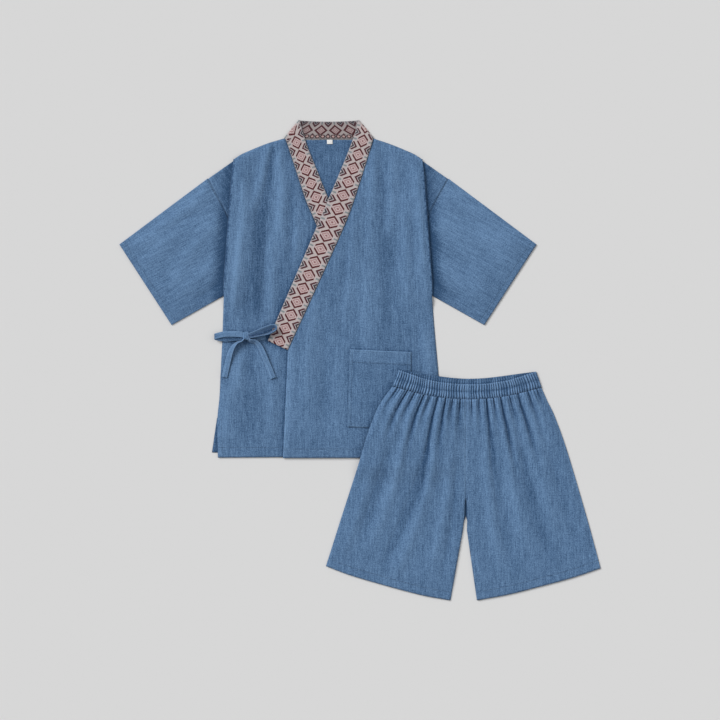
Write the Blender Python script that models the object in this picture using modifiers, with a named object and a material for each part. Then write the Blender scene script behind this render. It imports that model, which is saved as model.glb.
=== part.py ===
"""A jinbei set laid flat: a wrap jacket, with its shorts over the jacket's lower corner.

Tables and sizes are in millimetres and are turned into metres when a mesh is made. The jacket's
own frame has its origin at the middle of the jacket's hem, the shorts' at the foot of the
inseams; +X is the wearer's left, +Y points to the neck and +Z away from the surface.
"""
import bmesh
import bpy
import numpy as np

MM = 0.001

# Cloth
CLOTH = 1.2  # wall of a single layer
DOUBLE = 2.4  # neck band and waistband, folded double
TAPE = 1.6  # sewn tape of the ties
AIR = 0.6  # between layers that lie on each other
SEAM = 0.3  # between pieces that meet edge to edge
LAYER = CLOTH + AIR
DOUBLE_LAYER = DOUBLE + AIR
TURN = 4.0  # width of an edge that turns down to the surface
BACK_INSET = TURN + 1.4  # of the back panel inside the fronts
SLANT = 0.7  # share of an inset that falls across a sloping shoulder
SLEEVE_FOLD = 3.0  # room for the fold along the foot of a sleeve
ARMHOLE_POINTS = 9
PLEAT_INSET = {"foot": (-7.0, 4.0), "top": (-3.0, -1.0)}  # of the pleat's inner fold

# Places of the two garments in the set
JACKET_AT = (-80.0, -243.9)
SHORTS_AT = (264.5, -600.4)

# Jacket, half by half: x is measured outwards from the centre line
NECK_POINT = {"upper": (113.0, 797.0), "under": (107.5, 797.5)}
SHOULDER = [(145.0, 787.0), (178.0, 774.5), (214.0, 758.5)]
PLEAT_TOP = (235.0, 745.0)
SHOULDER_DROP = (300.0, 696.0)
ARMHOLE_MIDDLE = (243.0, 586.0)
UNDERARM = (200.0, 440.0)
ARMPIT = (260.0, 407.0)
CUFF_TOP = (520.5, 531.5)
CUFF_FOOT = (391.5, 332.5)
SLIT_TOP = 90.0

# Side edge: height above the hem, half width on the upper (left) and under (right) lap
SIDE_COLUMNS = ("height", "upper", "under")
SIDE = [(0.0, 279.0, 275.0), (90.0, 279.5, 276.5), (150.0, 279.0, 271.0),
        (203.0, 276.5, 268.5), (292.0, 268.5, 264.0), (350.0, 263.5, 262.0), (407.0, 260.0, 260.0)]

# Lap edge and the neck band's sewn edge, from the hem up to the neck point
LAP = {"upper": [(-112.5, -1.0), (-100.2, 268.5)], "under": [(-112.0, 3.0), (-100.0, 268.5)]}
SEWN_EDGE = {"upper": [(-100.2, 268.5), (11.2, 511.5), (52.5, 607.0), (84.0, 700.0), (110.5, 786.0)],
             "under": [(-100.0, 268.5), (27.2, 577.0), (52.8, 636.0), (73.2, 696.5), (100.5, 779.5)]}

# Neck band's free edge, from the lap's lower corner up to where the band folds over
FREE_EDGE = {"upper": [(-150.2, 292.0), (1.5, 645.5), (62.2, 794.8), (75.0, 842.5)],
             "under": [(-150.2, 292.0), (-1.5, 645.5), (24.0, 709.0), (52.5, 780.0), (70.5, 842.5)]}
BACK_NECK = 795.0
BAND_WIDTH = 50.0

POCKET = [(48.5, 76.5), (204.5, 71.0), (208.5, 263.8), (54.0, 270.5)]
TAG = {"middle": (4.5, 789.0), "width": 14.0, "height": 11.0, "wall": 1.0}

# Shorts: front waistband edges, outer edge and inner edges of each leg (x outwards from the seam)
WAIST_TOP = [(-168.5, 575.8), (-85.0, 549.0), (4.0, 540.0), (92.0, 547.0), (173.8, 571.0)]
WAIST_BACK = [(-168.5, 575.8), (4.0, 553.5), (173.8, 571.0)]
WAIST_FOOT = [(-182.5, 534.8), (-90.0, 511.0), (4.0, 502.0), (96.0, 509.0), (187.5, 532.0)]
LEG_OUTER = {"right": [(182.5, 534.0), (206.5, 502.0), (222.5, 474.0), (244.5, 416.0),
                       (272.5, 322.2), (309.5, 206.8), (348.2, 84.8)],
             "left": [(187.5, 531.0), (203.0, 496.0), (220.0, 461.0), (250.0, 377.8),
                      (291.5, 239.0), (316.0, 152.0), (335.4, 79.5)]}
LEG_HEM = {"right": [(38.8, 0.0), (110.0, 12.8), (201.8, 37.0), (288.5, 62.5), (348.2, 84.8)],
           "left": [(28.0, 0.0), (105.0, 14.0), (180.5, 33.0), (262.0, 55.0), (335.4, 79.5)]}
CROTCH = {"front": 245.0, "back": 205.0}
LEG_INNER_FOOT = {"right": [(7.8, 175.0), (38.8, 0.0)], "left": [(3.0, 175.0), (28.0, 0.0)]}

# Gathers under the waistband: place along it (0 centre, 1 side), width, drop and height
GATHER_COLUMNS = ("place", "width", "drop", "height")
GATHERS = [(0.08, 0.030, 150.0, 1.6), (0.19, 0.035, 230.0, 2.2), (0.31, 0.030, 120.0, 1.8),
           (0.43, 0.040, 300.0, 2.6), (0.56, 0.032, 170.0, 2.0), (0.68, 0.042, 260.0, 2.5),
           (0.81, 0.034, 190.0, 2.2), (0.92, 0.036, 240.0, 1.8)]
WAIST_WAVES = 28
WAIST_WAVE_HEIGHT = 0.5

# Bow tied at the right side
TIE_WIDTH = 14.0
KNOT = {"middle": (-204.5, 303.8, 8.0), "size": (19.0, 20.0, 8.6)}
TIE_COLUMNS = ("x", "y", "z", "roll")
TIES = {
    "tie_strand_front": [(-192.6, 300.5, 4.4, 4), (-180.0, 299.5, 4.4, 4), (-167.0, 300.0, 4.4, 4),
                         (-156.0, 303.0, 4.4, 4)],
    "tie_strand_side": [(-216.0, 303.0, 4.3, 0), (-236.0, 303.0, 4.3, 0), (-256.0, 302.0, 4.3, 0)],
    "bow_loop_left": [(-216.5, 307.5, 10.0, 6), (-236.0, 309.0, 11.0, 10), (-258.0, 308.5, 10.8, 8),
                      (-276.0, 304.5, 10.2, 4), (-283.0, 302.0, 8.6, 0), (-276.0, 299.5, 7.0, -3),
                      (-258.0, 297.0, 6.6, -4), (-236.0, 298.5, 6.8, -3), (-216.5, 300.5, 6.9, 0)],
    "bow_loop_right": [(-192.5, 306.5, 11.0, 40), (-174.0, 314.0, 12.2, 40), (-152.0, 323.5, 13.6, 42),
                       (-136.0, 328.5, 14.4, 50), (-129.5, 325.0, 14.6, 62), (-133.0, 318.0, 14.4, 70),
                       (-150.0, 309.5, 13.4, 76), (-172.0, 304.5, 13.2, 80), (-191.5, 301.0, 13.0, 80)],
    "bow_end_left": [(-214.5, 292.0, 11.4, 78), (-226.0, 287.5, 11.2, 70), (-236.5, 277.0, 10.2, 46),
                     (-243.5, 262.0, 8.4, 26), (-249.0, 242.0, 6.2, 12), (-254.0, 221.0, 5.0, 5),
                     (-258.5, 200.5, 4.6, 3)],
    "bow_end_right": [(-193.5, 291.5, 10.4, 58), (-181.5, 289.5, 9.8, 48), (-171.0, 279.5, 8.6, 32),
                      (-161.5, 260.0, 6.8, 18), (-152.0, 237.0, 5.2, 8), (-144.0, 217.0, 4.7, 4),
                      (-136.8, 198.0, 4.5, 3)],
}

CHAMBRAY = (0.094, 0.197, 0.376)
INSIDE_CHAMBRAY = (0.060, 0.130, 0.260)
BAND_PRINT = (0.480, 0.330, 0.320)
TAG_WHITE = (0.85, 0.85, 0.83)


def start_scene():
    """Empties the scene and returns the collection that holds the set's pieces."""
    for item in list(bpy.data.objects):
        bpy.data.objects.remove(item, do_unlink=True)
    pieces = bpy.data.collections.new("jinbei_set")
    bpy.context.scene.collection.children.link(pieces)
    return pieces


def cloth_material(name, colour, roughness):
    """Plain Principled material of one colour."""
    material = bpy.data.materials.new(name)
    material.use_nodes = True
    shader = material.node_tree.nodes["Principled BSDF"]
    shader.inputs["Base Color"].default_value = (*colour, 1.0)
    shader.inputs["Roughness"].default_value = roughness
    shader.inputs["Metallic"].default_value = 0.0
    return material


# ---------------------------------------------------------------- curves, patches and heights

def smooth(points, count):
    """Evenly spaced points along a Catmull-Rom curve through the given ones."""
    given = np.array(points, float)
    padded = np.vstack([2 * given[0] - given[1], given, 2 * given[-1] - given[-2]])
    step = np.linspace(0, 1, 13)[:-1, None]
    spans = []
    for before, start, end, after in zip(padded, padded[1:], padded[2:], padded[3:]):
        spans.append(start + 0.5 * step * (end - before)
                     + 0.5 * step ** 2 * (2 * before - 5 * start + 4 * end - after)
                     + 0.5 * step ** 3 * (3 * start - before - 3 * end + after))
    return spaced(np.vstack(spans + [given[-1:]]), count)


def spaced(points, count):
    """Evenly spaced points along the straight runs between the given ones."""
    points = np.array(points, float)
    run = np.r_[0, np.cumsum(np.linalg.norm(np.diff(points, axis=0), axis=1))]
    at = np.linspace(0, run[-1], count)
    return np.column_stack([np.interp(at, run, column) for column in points.T])


def patch(foot, top, inner, outer):
    """Coons patch between four edges; rows run from the foot to the top."""
    across = np.linspace(0, 1, len(foot))[None, :, None]
    up = np.linspace(0, 1, len(inner))[:, None, None]
    corners = ((1 - across) * (1 - up) * foot[0] + across * (1 - up) * foot[-1]
               + (1 - across) * up * top[0] + across * up * top[-1])
    return ((1 - up) * foot[None] + up * top[None]
            + (1 - across) * inner[:, None] + across * outer[:, None] - corners)


def beyond(points, outline):
    """Distance from each point to a closed outline, negative inside it."""
    flat = points.reshape(-1, 1, 2)
    start = np.array(outline, float)[None]
    end = np.roll(start, -1, axis=1)
    edge = end - start
    along = np.clip(((flat - start) * edge).sum(2) / (edge ** 2).sum(2), 0, 1)
    away = np.linalg.norm(flat - start - along[..., None] * edge, axis=2).min(axis=1)
    level = (start[..., 1] > flat[..., 1]) != (end[..., 1] > flat[..., 1])
    height = np.where(edge[..., 1] == 0, 1.0, edge[..., 1])
    crossing = start[..., 0] + (flat[..., 1] - start[..., 1]) * edge[..., 0] / height
    inside = (level & (flat[..., 0] < crossing)).sum(axis=1) % 2 == 1
    return np.where(inside, -away, away).reshape(points.shape[:-1])


def ease(value):
    """Smooth step from 0 to 1."""
    value = np.clip(value, 0, 1)
    return value * value * (3 - 2 * value)


def rise(points, outline, run=45.0, margin=8.0):
    """1 over the outline and a margin round it, easing to 0 over the run beyond."""
    return 1 - ease((beyond(points, outline) - margin) / run)


def raised(flat, height):
    """Puts a height on each flat point."""
    return np.concatenate([flat, np.broadcast_to(height, flat.shape[:-1])[..., None]], axis=-1)


def mirrored(points):
    """The other half of a garment, with x turned round."""
    return np.array(points, float) * (-1.0, 1.0)


# ---------------------------------------------------------------- pieces from grids

def sheet_mesh(name, grids, closed_round=False):
    """One open sheet from grids of points; grids that share an edge are merged along it."""
    shape = bmesh.new()
    for grid in grids:
        rows, columns = grid.shape[:2]
        corners = [[shape.verts.new(point * MM) for point in row] for row in grid]
        last = columns if closed_round else columns - 1
        for row in range(rows - 1):
            for column in range(last):
                after = (column + 1) % columns
                shape.faces.new((corners[row][column], corners[row][after],
                                 corners[row + 1][after], corners[row + 1][column]))
    bmesh.ops.remove_doubles(shape, verts=shape.verts, dist=0.00001)
    bmesh.ops.recalc_face_normals(shape, faces=shape.faces)
    mesh = bpy.data.meshes.new(name)
    shape.to_mesh(mesh)
    shape.free()
    return mesh


def cloth_piece(name, grids, wall, place, material, pieces, closed_round=False, even=True):
    """A named wall of cloth: the sheet through the grids, thickened evenly to both sides."""
    piece = bpy.data.objects.new(name, sheet_mesh(name, grids, closed_round))
    pieces.objects.link(piece)
    piece.location = (place[0] * MM, place[1] * MM, 0)
    piece.data.materials.append(material)
    piece.data.shade_smooth()
    wall_modifier = piece.modifiers.new("wall", 'SOLIDIFY')
    wall_modifier.thickness = wall * MM
    wall_modifier.offset = 0
    wall_modifier.use_even_offset = even
    wall_modifier.thickness_clamp = 0
    return piece


def flat_piece(name, outline, lowest, wall, place, material, pieces):
    """A flat named piece: its filled outline, thickened upwards."""
    shape = bmesh.new()
    corners = [shape.verts.new((x * MM, y * MM, 0)) for x, y in outline]
    shape.faces.new(corners)
    bmesh.ops.triangulate(shape, faces=shape.faces)
    mesh = bpy.data.meshes.new(name)
    shape.to_mesh(mesh)
    shape.free()
    piece = bpy.data.objects.new(name, mesh)
    pieces.objects.link(piece)
    piece.location = (place[0] * MM, place[1] * MM, (lowest + wall / 2) * MM)
    piece.data.materials.append(material)
    wall_modifier = piece.modifiers.new("wall", 'SOLIDIFY')
    wall_modifier.thickness = wall * MM
    wall_modifier.offset = 0
    return piece


# ---------------------------------------------------------------- jacket outlines

def side_edge(lap, count):
    """Side edge from the hem to the armpit, x outwards."""
    column = SIDE_COLUMNS.index(lap)
    return smooth([(row[column], row[0]) for row in SIDE], count)


def armhole(count):
    """Armhole seam from the underarm up to the dropped shoulder."""
    return smooth([UNDERARM, ARMHOLE_MIDDLE, SHOULDER_DROP], count)


def sewn_edge(lap, count):
    """Edge of a front that the neck band is sewn to, up to the neck point."""
    return smooth(SEWN_EDGE[lap] + [NECK_POINT[lap]], count)


def lap_outline(lap):
    """Outline of one front with its stretch of the neck band, x outwards."""
    return np.vstack([LAP[lap], spaced(FREE_EDGE[lap], 12), [NECK_POINT[lap]], SHOULDER,
                      [PLEAT_TOP], side_edge(lap, 12)[::-1]])


def band_outline(lap):
    """Outline of the neck band's stretch along one lap, x outwards."""
    return np.vstack([sewn_edge(lap, 14), smooth(FREE_EDGE[lap], 14)[::-1]])


def pleat_outline():
    """The pleat at the armhole, between its outer and its inner fold."""
    return np.array([PLEAT_TOP, ARMPIT, UNDERARM], float)


def back_band_outline():
    """The stretch of the neck band behind the neck, in the jacket's frame."""
    under_neck = mirrored([NECK_POINT["under"]])
    under_free = mirrored([FREE_EDGE["under"][-1]])
    return np.vstack([[NECK_POINT["upper"]], [FREE_EDGE["upper"][-1]], under_free, under_neck])


def height_in_front(points, lap):
    """Lowest height of what lies on the back panel, at points of the jacket's frame."""
    height = np.full(points.shape[:-1], LAYER)
    height += 2 * LAYER * rise(points, pleat_outline())
    height += 2 * LAYER * rise(points, mirrored(pleat_outline()))
    if lap == "upper":
        height += LAYER * rise(points, mirrored(lap_outline("under")))
        height += (DOUBLE - CLOTH) * rise(points, mirrored(band_outline("under")))
    return height


# ---------------------------------------------------------------- jacket pieces

def make_back(material, pieces):
    """Back panel: it lies on the surface, inside the turned-down edges of the fronts."""
    outline = [(-(NECK_POINT["under"][0] + 2), BACK_NECK - 4), (-60.0, BACK_NECK - 1),
               (60.0, BACK_NECK - 1), (NECK_POINT["upper"][0] + 2, BACK_NECK - 4)]
    for x, y in SHOULDER + [PLEAT_TOP, SHOULDER_DROP]:
        outline.append((x - SLANT * BACK_INSET, y - BACK_INSET))
    outline.extend(armhole(ARMHOLE_POINTS)[-2:0:-1] - (2 * SEAM, 0))
    outline.append((UNDERARM[0] - 2 * SEAM, UNDERARM[1] - SLEEVE_FOLD))
    outline.append((ARMPIT[0] - BACK_INSET, ARMPIT[1] - SLEEVE_FOLD))
    for x, y in side_edge("upper", 8)[-2:1:-1]:
        outline.append((x - BACK_INSET, y))
    outline.extend([(SIDE[1][1] + 0.5, SLIT_TOP), (291.0, 12.0), (0.0, 2.0), (-289.8, 13.0),
                    (-SIDE[1][2] - 0.5, SLIT_TOP)])
    for x, y in side_edge("under", 8)[2:-1]:
        outline.append((BACK_INSET - x, y))
    outline.append((BACK_INSET - ARMPIT[0], ARMPIT[1] - SLEEVE_FOLD))
    outline.append((2 * SEAM - UNDERARM[0], UNDERARM[1] - SLEEVE_FOLD))
    outline.extend(mirrored(armhole(ARMHOLE_POINTS)[1:-1]) + (2 * SEAM, 0))
    for x, y in [SHOULDER_DROP, PLEAT_TOP] + SHOULDER[::-1]:
        outline.append((SLANT * BACK_INSET - x, y - BACK_INSET))
    flat_piece("jacket_back", outline[::-1], 0.0, CLOTH, JACKET_AT, material, pieces)


def make_front(name, lap, material, pieces):
    """A front: a main panel, and the pleat at the armhole that ends on the sleeve's seam."""
    across = 15 if lap == "upper" else 11
    low, high, neck = (14, 17, 12) if lap == "upper" else (10, 12, 8)
    turn_of = {"upper": 1.0, "under": -1.0}[lap]
    lap_edge = spaced(LAP[lap], neck)
    inner = np.vstack([lap_edge[:-1], sewn_edge(lap, low + high - neck)])
    side = side_edge(lap, low) - (TURN, 0)
    fold = spaced([ARMPIT, PLEAT_TOP], high) - (TURN, 0)
    outer = np.vstack([side[:-1], fold])
    foot = spaced([inner[0], outer[0]], across)
    top = smooth([inner[-1]] + [(x, y - TURN) for x, y in SHOULDER] + [outer[-1]], across)
    flat = patch(foot, top, inner, outer)
    full_side = np.vstack([side_edge(lap, low)[:-1], spaced([ARMPIT, PLEAT_TOP], high)])
    flat = np.concatenate([flat, full_side[:, None]], axis=1)
    shoulder = smooth([NECK_POINT[lap]] + SHOULDER + [PLEAT_TOP], across + 1)
    flat = np.concatenate([flat, shoulder[None]], axis=0)
    flat[-2, -1] = spaced([ARMPIT, PLEAT_TOP], high)[-1] - (0.2, TURN)

    height = height_in_front(flat * (turn_of, 1.0), lap) + CLOTH / 2
    turned = ease((flat[:, -1, 1] - SLIT_TOP) / 15) * ease((ARMPIT[1] - 12 - flat[:, -1, 1]) / 30)
    height[:, -1] += (CLOTH / 2 - height[:, -1]) * turned
    turned = ease((PLEAT_TOP[0] - 10 - flat[-1, :, 0]) / 40)
    height[-1] += (CLOTH / 2 - height[-1]) * turned
    main = raised(flat, height)

    fold_rows = main[low - 1:, -1]
    pleat = pleat_grid(fold_rows)
    grids = [main * (turn_of, 1, 1), pleat * (turn_of, 1, 1)]
    return cloth_piece(name, grids, CLOTH, JACKET_AT, material, pieces)


def pleat_grid(fold_rows):
    """From the outer fold in to the inner fold and out again to the armhole seam."""
    count = len(fold_rows)
    share = np.linspace(0, 1, count)[:, None]
    inner_foot = np.array(UNDERARM) + PLEAT_INSET["foot"]
    inner_top = np.array(PLEAT_TOP) + PLEAT_INSET["top"]
    inner_fold = (1 - share) * inner_foot + share * inner_top
    seam = armhole(count) - (SEAM, 0)
    half = LAYER / 2
    top = fold_rows[:, 2:]
    columns = [fold_rows]
    for angle in np.radians([60, 120, 180]):
        columns.append(raised(fold_rows[:, :2] + (half * np.sin(angle), 0),
                              (top - half * (1 - np.cos(angle)))[:, 0]))
    low = CLOTH / 2 + LAYER
    returning = top[:, 0] - LAYER
    columns.append(raised((columns[-1][:, :2] + inner_fold) / 2, (returning + low + LAYER) / 2))
    for angle in np.radians([0, 60, 120, 180]):
        columns.append(raised(inner_fold - (half * np.sin(angle), 0),
                              low + LAYER - half * (1 - np.cos(angle))))
    for part in (0.35, 0.7, 1.0):
        columns.append(raised(inner_fold + part * (seam - inner_fold), low))
    return np.stack(columns, axis=1)


def make_sleeve(name, turn_of, material, pieces):
    """A sleeve: a flattened tube of rings from the armhole seam to the cuff."""
    rings = 8
    seam = armhole(ARMHOLE_POINTS) + (2 * SEAM, 0)
    cuff = spaced([CUFF_FOOT, CUFF_TOP], ARMHOLE_POINTS)
    half = LAYER / 2
    grid = []
    for share in np.linspace(0, 1, rings):
        line = (1 - share) * seam + share * cuff
        front = raised(line, LAYER + CLOTH / 2)
        back = raised(line[::-1], CLOTH / 2)
        along = (line[-1] - line[0]) / np.linalg.norm(line[-1] - line[0])
        turn_up = [raised(line[-1] + along * half * np.sin(a), CLOTH / 2 + half * (1 + np.cos(a)))
                   for a in np.radians([60, 120])]
        turn_down = [raised(line[0] - along * half * np.sin(a), CLOTH / 2 + half * (1 - np.cos(a)))
                     for a in np.radians([60, 120])]
        grid.append(np.vstack([front, turn_up, back, turn_down]))
    grid = np.array(grid) * (turn_of, 1, 1)
    cloth_piece(name, [grid], CLOTH, JACKET_AT, material, pieces, closed_round=True)


def make_neck_band(material, pieces):
    """The band: one strip up the under lap, folded over, round the back and down the upper lap."""
    stations, behind = 20, 7
    runs = {}
    for lap, turn_of in (("upper", 1.0), ("under", -1.0)):
        sewn = sewn_edge(lap, stations)
        free = smooth(FREE_EDGE[lap], stations)
        sewn = sewn + (free - sewn) * 2 * SEAM / BAND_WIDTH
        flat = np.stack([sewn, (sewn + free) / 2, free], axis=1) * (turn_of, 1.0)
        height = height_in_front(flat, lap) + (DOUBLE - CLOTH) * rise(flat, back_band_outline(), 30.0)
        runs[lap] = raised(flat, height + DOUBLE / 2)
    fold_upper = runs["upper"][-1]
    fold_under = runs["under"][-1]
    share = np.linspace(0, 1, behind)[:, None, None]
    level = np.array([[1, 1, 0]])
    behind_flat = (1 - share) * (fold_under * level)[None] + share * (fold_upper * level)[None]
    dip = 1 - (2 * share[..., 0] - 1) ** 2
    behind_flat[:, :, 1] -= dip * np.array([[2.0, 2.4, 3.0]])
    behind_run = behind_flat + np.array([0, 0, DOUBLE / 2])
    turns = {}
    for lap, fold, way in (("upper", fold_upper, 1.0), ("under", fold_under, -1.0)):
        line = fold[2, :2] - fold[0, :2]
        out = np.array([-line[1], line[0]]) / np.linalg.norm(line) * -way
        half = (fold[:, 2] - DOUBLE / 2) / 2
        turns[lap] = [raised(fold[:, :2] + out * (half * np.sin(a))[:, None],
                             DOUBLE / 2 + half * (1 - np.cos(a))) for a in np.radians([45, 90, 135])]
    grid = np.concatenate([runs["under"], np.array(turns["under"][::-1]), behind_run,
                           np.array(turns["upper"]), runs["upper"][::-1]])
    cloth_piece("neck_band", [grid], DOUBLE, JACKET_AT, material, pieces)


def make_pocket(material, pieces):
    """Patch pocket, on the upper front's own height."""
    foot = spaced(POCKET[:2], 8)
    top = spaced([POCKET[3], POCKET[2]], 8)
    flat = patch(foot, top, spaced([POCKET[0], POCKET[3]], 9), spaced(POCKET[1:3], 9))
    height = height_in_front(flat, "upper") + LAYER + CLOTH / 2
    cloth_piece("pocket", [raised(flat, height)], CLOTH, JACKET_AT, material, pieces)


def make_tag(material, pieces):
    """Blank size tag, on the back panel just under the neck band."""
    x, y = TAG["middle"]
    half_width = TAG["width"] / 2
    half_height = TAG["height"] / 2
    outline = [(x - half_width, y - half_height), (x + half_width, y - half_height),
               (x + half_width, y + half_height), (x - half_width, y + half_height)]
    flat_piece("size_tag", outline, CLOTH + SEAM, TAG["wall"], JACKET_AT, material, pieces)


def make_tie(name, rows, material, pieces):
    """A length of tape along its points, turned about its run by the roll in each row."""
    path = smooth(rows, 3 * len(rows) - 2)
    run = np.gradient(path[:, :2], axis=0)
    run /= np.linalg.norm(run, axis=1)[:, None]
    if name == "bow_loop_left":
        run = np.tile([-1.0, 0.0], (len(path), 1))
    roll = np.radians(path[:, 3])
    side = np.column_stack([-run[:, 1] * np.cos(roll), run[:, 0] * np.cos(roll), np.sin(roll)])
    half = np.linspace(-0.5, 0.5, 3) * TIE_WIDTH
    grid = path[:, None, :3] + side[:, None] * half[None, :, None]
    cloth_piece(name, [grid], TAPE, JACKET_AT, material, pieces, even=False)


def make_knot(material, pieces):
    """Knot of the bow: a rounded lump of tape."""
    shape = bmesh.new()
    bmesh.ops.create_uvsphere(shape, u_segments=14, v_segments=9, radius=0.5)
    size = np.array(KNOT["size"]) * MM
    bmesh.ops.scale(shape, vec=size, verts=shape.verts)
    mesh = bpy.data.meshes.new("bow_knot")
    shape.to_mesh(mesh)
    shape.free()
    mesh.shade_smooth()
    knot = bpy.data.objects.new("bow_knot", mesh)
    pieces.objects.link(knot)
    x, y, z = KNOT["middle"]
    knot.location = ((x + JACKET_AT[0]) * MM, (y + JACKET_AT[1]) * MM, z * MM)
    knot.data.materials.append(material)


# ---------------------------------------------------------------- shorts

def height_of_jacket(points):
    """How far the jacket's layers lift the shorts, at points of the shorts' frame."""
    local = points + np.array(SHORTS_AT) - np.array(JACKET_AT)
    upper = lap_outline("upper")
    height = 2 * LAYER * rise(local, upper, 60.0, 14.0)
    height += LAYER * rise(local, POCKET, 60.0, 14.0)
    height += LAYER * rise(local, mirrored(lap_outline("under")), 60.0, 14.0)
    return height


def waist_line(points, count, shift=0.0):
    """A waistband edge from side to side, moved up or down."""
    return smooth(points, count) + (0.0, shift)


def gathers(share_across, below):
    """Height of the gathers at a share of the half width and a distance below the band."""
    height = np.zeros(np.broadcast(share_across, below).shape)
    for place, width, drop, most in GATHERS:
        bump = np.exp(-((share_across - place) / width) ** 2)
        height += most * bump * (1 - ease(below / drop))
    return height


def make_leg(name, side, material, pieces):
    """A leg: from the centre front seam round the outside to the centre back seam."""
    turn_of = {"left": 1.0, "right": -1.0}[side]
    across, rows = 14, 14
    outer = smooth(LEG_OUTER[side], rows)[::-1]
    centre = SEAM / 2 + 0.1
    hem = smooth(LEG_HEM[side], across)
    half_waist = waist_line(WAIST_FOOT, 2 * across - 1, -1.0)
    foot_middle = half_waist[across - 1]
    top = half_waist[across - 1:] if side == "left" else half_waist[across - 1::-1] * (-1, 1)
    top[:, 0] = np.interp(np.linspace(0, 1, across), [0, 1], [centre, outer[-1, 0]])
    grids = {}
    for layer in ("front", "back"):
        crotch = CROTCH[layer]
        inner = np.array([(centre, foot_middle[1]), (centre, crotch)] + LEG_INNER_FOOT[side], float)
        inner = spaced(inner[::-1], rows)
        flat = patch(hem, top, inner, outer)
        if layer == "back":
            below_crotch = ease((CROTCH["back"] + 10 - flat[..., 1]) / 30)
            near_inner = 1 - ease(np.linspace(0, 1, across) * 8)
            flat[..., 0] += (TURN + 0.8) * below_crotch * near_inner[None]
        grids[layer] = flat
    base = {layer: height_of_jacket(flat * (turn_of, 1)) for layer, flat in grids.items()}
    front = raised(grids["front"], base["front"] + LAYER + CLOTH / 2)
    share = np.linspace(0, 1, across)[None]
    below = np.maximum(top[None, :, 1] - grids["front"][..., 1], 0)
    lift = gathers(share, below)
    front[..., 2] += lift
    turned = ease((CROTCH["back"] - front[:, 0, 1]) / 30)
    front[:, 0, 2] += (base["front"][:, 0] + CLOTH / 2 - front[:, 0, 2]) * turned
    back = raised(grids["back"], base["back"] + CLOTH / 2)
    edge = back[:, -1]
    half = (front[:, -1, 2] - edge[:, 2]) / 2
    round_edge = [edge + np.column_stack([half * np.sin(a), 0 * half, half * (1 + np.cos(a))])
                  for a in np.radians([45, 90, 135])]
    front[:, -1, :2] = edge[:, :2]
    grid = np.concatenate([front, np.stack(round_edge, axis=1), back[:, ::-1]], axis=1)
    cloth_piece(name, [grid * (turn_of, 1, 1)], CLOTH, SHORTS_AT, material, pieces)


def make_waistband(material, pieces):
    """Waistband: a flattened ring of double cloth with the waves of its elastic."""
    across = 2 * WAIST_WAVES + 1
    half = DOUBLE_LAYER / 2
    wave = WAIST_WAVE_HEIGHT * (1 - np.cos(np.pi * np.arange(across)))
    rows = []
    for share in (0.0, 0.5, 1.0):
        front = (1 - share) * waist_line(WAIST_FOOT, across) + share * waist_line(WAIST_TOP, across)
        back = (1 - share) * waist_line(WAIST_FOOT, 15) + share * waist_line(WAIST_BACK, 15)
        lift = np.clip(np.minimum(np.arange(across), np.arange(across)[::-1]) / 3, 0, 1)
        front_row = raised(front, height_of_jacket(front) + DOUBLE_LAYER + DOUBLE / 2 + wave * lift)
        back_row = raised(back, height_of_jacket(back) + DOUBLE / 2)[::-1]
        ends = []
        for edge, way in ((back_row[0], 1.0), (back_row[-1], -1.0)):
            ends.append([edge + (way * half * np.sin(a), 0, half * (1 + way * np.cos(a)))
                         for a in np.radians([45, 90, 135])])
        rows.append(np.vstack([front_row, ends[0], back_row, ends[1]]))
    cloth_piece("shorts_waistband", [np.array(rows)], DOUBLE, SHORTS_AT, material, pieces,
                closed_round=True)


def main():
    """Makes the whole set."""
    pieces = start_scene()
    chambray = cloth_material("chambray", CHAMBRAY, 0.85)
    inside = cloth_material("chambray_inside", INSIDE_CHAMBRAY, 0.9)
    band = cloth_material("band_print", BAND_PRINT, 0.85)
    white = cloth_material("tag_white", TAG_WHITE, 0.7)
    make_back(inside, pieces)
    make_front("jacket_front_right", "under", chambray, pieces)
    make_front("jacket_front_left", "upper", chambray, pieces)
    make_sleeve("sleeve_right", -1.0, chambray, pieces)
    make_sleeve("sleeve_left", 1.0, chambray, pieces)
    make_neck_band(band, pieces)
    make_pocket(chambray, pieces)
    make_tag(white, pieces)
    for name, rows in TIES.items():
        make_tie(name, rows, chambray, pieces)
    make_knot(chambray, pieces)
    make_leg("shorts_leg_right", "right", chambray, pieces)
    make_leg("shorts_leg_left", "left", chambray, pieces)
    make_waistband(chambray, pieces)


main()
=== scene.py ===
"""Looks of a jinbei set laid flat: wrap jacket and shorts in slubbed blue chambray."""

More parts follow.
